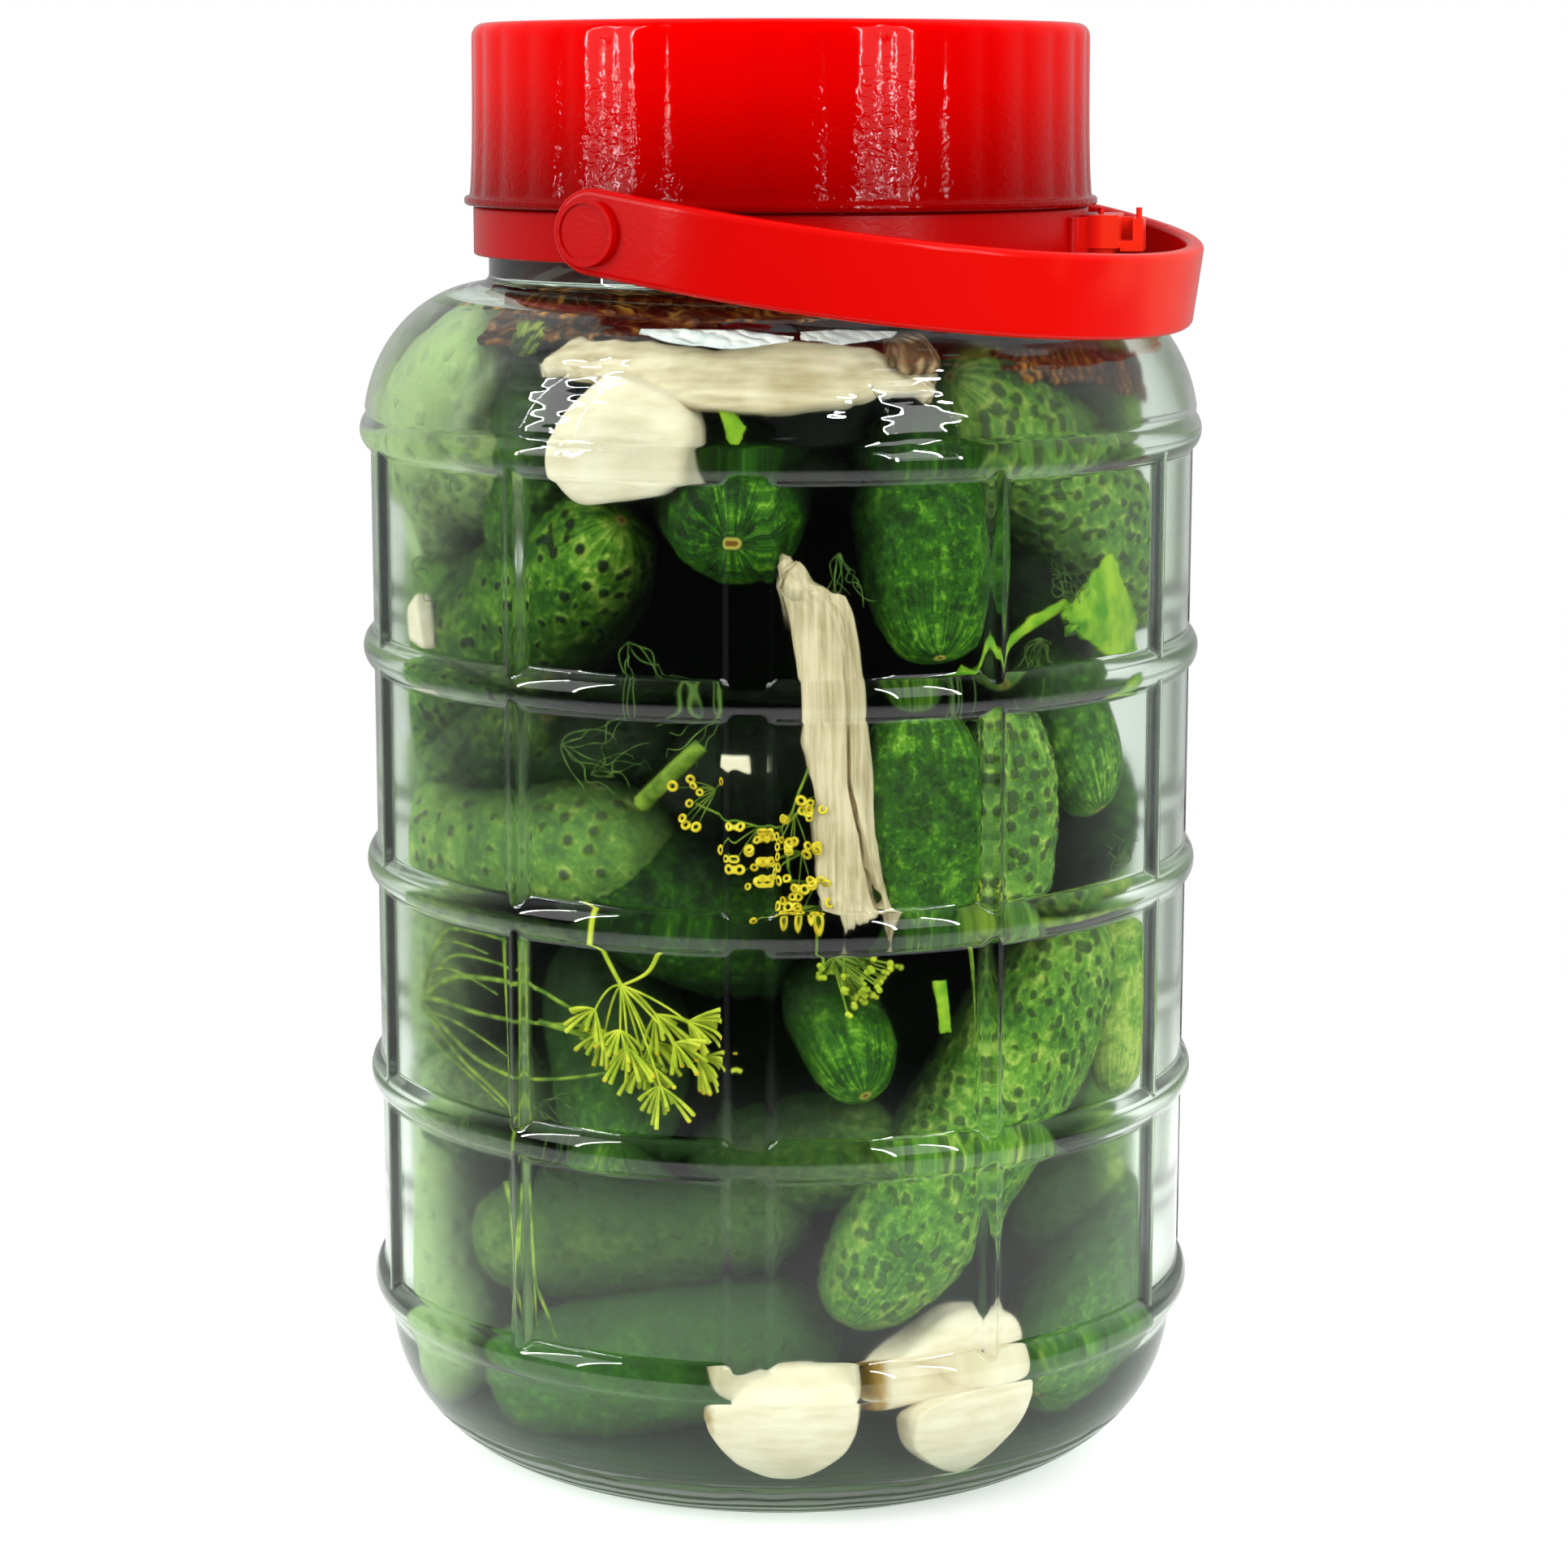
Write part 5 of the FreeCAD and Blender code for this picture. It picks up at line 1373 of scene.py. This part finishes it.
for vert in lid_shape.verts:
    r, z = math.hypot(vert.co.x, vert.co.y) / MM, vert.co.z / MM
    if r > THREAD_R + 0.6 and z > foot_z + 2.2:
        turn = (math.degrees(math.atan2(vert.co.y, vert.co.x)) - FIRST_CREASE) * LOBES / 360
        across = 2 * (turn % 1) - 1
        fade = min(1, (head_z - z) / 4)
        shrink = 1 - LOBE_DEPTH * across ** 2 * fade / r
        vert.co.x, vert.co.y = vert.co.x * shrink, vert.co.y * shrink
print(LOBES, "lobes,", round(head_z - foot_z, 1), "mm high")

# %% [markdown]
# Injection-moulded polypropylene takes colour all through and comes out of a polished mould
# glossy, with a skin that is very slightly wavy, about 3 mm from wave to wave. It refracts at 1.49.
# Its red looks deeper where the plastic is thick and lighter where light gets through an edge, so
# each part has its own row of reds along one direction: the lid from foot to head, the strap from
# back to front and the collar outwards.
# %% Red polypropylene
def red_plastic(name, stops, along, low, high, crinkle, roughness):
    """Glossy moulded polypropylene with slightly wavy skin; its red changes along Z, Y or outwards as painted
    light and shade.
    """
    material, tree, out = new_material(name)
    place = add(tree, "ShaderNodeTexCoord").outputs["Object"]
    flat = add(tree, "ShaderNodeVectorMath", {0: place, 1: (1, 1, 0)}, operation="MULTIPLY").outputs[0]
    measured = {"outwards": add(tree, "ShaderNodeVectorMath", {0: flat}, operation="LENGTH").outputs["Value"]}
    measured.update(add(tree, "ShaderNodeSeparateXYZ", {0: place}).outputs.items())
    up = add(tree, "ShaderNodeMapRange", {0: measured[along], 1: low, 2: high})
    cloud = add(tree, "ShaderNodeTexNoise", {"Vector": place, "Scale": 25.0, "Detail": 2.0})
    drift = add(tree, "ShaderNodeMath", {0: cloud.outputs[0], 1: 0.25, 2: up.outputs[0]},
                operation="MULTIPLY_ADD")
    level_up = add(tree, "ShaderNodeMath", {0: drift.outputs[0], 1: 0.125}, operation="SUBTRACT")
    reds = [(at, linear(tone)) for at, tone in stops]
    red = add(tree, "ShaderNodeValToRGB", {0: level_up.outputs[0]}, reds)
    wave = add(tree, "ShaderNodeMapping", {"Vector": place, "Scale": (300, 300, 420)})
    wave = add(tree, "ShaderNodeTexNoise",
               {"Vector": wave.outputs[0], "Scale": 1.0, "Detail": 2.0, "Distortion": 1.2})
    lower = add(tree, "ShaderNodeMapRange", {0: up.outputs[0], 1: 0.95, 2: 0.2, 3: 0.15, 4: 1.0},
                interpolation_type="SMOOTHSTEP")
    relief = add(tree, "ShaderNodeMath", {0: wave.outputs[0], 1: lower.outputs[0]}, operation="MULTIPLY")
    bump = add(tree, "ShaderNodeBump",
               {"Strength": 1.0, "Distance": crinkle * MM, "Height": relief.outputs[0]})
    skin = add(tree, "ShaderNodeBsdfPrincipled", {
        "Base Color": red.outputs[0], "Roughness": roughness, "IOR": 1.49, "Specular IOR Level": 0.14,
        "Normal": bump.outputs[0]})
    tree.links.new(skin.outputs[0], out.inputs["Surface"])
    return material


# %% Lid, collar and strap
# painted light and shade: each row of reds runs from a dark shaded end to a light lit end
LID_REDS = [(0.0, "#780000"), (0.3, "#A00000"), (0.65, "#C60000"), (1.0, "#D60000")]
COLLAR_REDS = [(0.0, "#A00000"), (0.3, "#AC0000"), (0.8, "#E41A0C"), (1.0, "#F03018")]
STRAP_REDS = [(0.0, "#A80000"), (0.4, "#C00200"), (0.85, "#D40802"), (1.0, "#EC5038")]
lid_red = red_plastic("red_polypropylene_lid", LID_REDS, "Z", lid_low.z, lid_high.z, 0.22, 0.06)
finish_piece("screw_lid", lid_shape, lid_red, "jar", "lid")
strap_red = red_plastic("red_polypropylene_strap", STRAP_REDS, "Y", 0.006, -0.112, 0.03, 0.2)
collar_red = red_plastic("red_polypropylene_collar", COLLAR_REDS, "outwards", 0.072, 0.078, 0.05, 0.25)
for node, material in (("collar", collar_red), ("handle", strap_red)):
    cad_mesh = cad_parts[node].data
    cad_mesh.materials.clear()
    cad_mesh.materials.append(material)
    print(node, "keeps its CAD mesh and gets", material.name)

# %% [markdown]
# ## View settings
# The colours are shown as they are written, so the view transform is Standard.
# %% View settings
bpy.context.scene.view_settings.view_transform = "Standard"
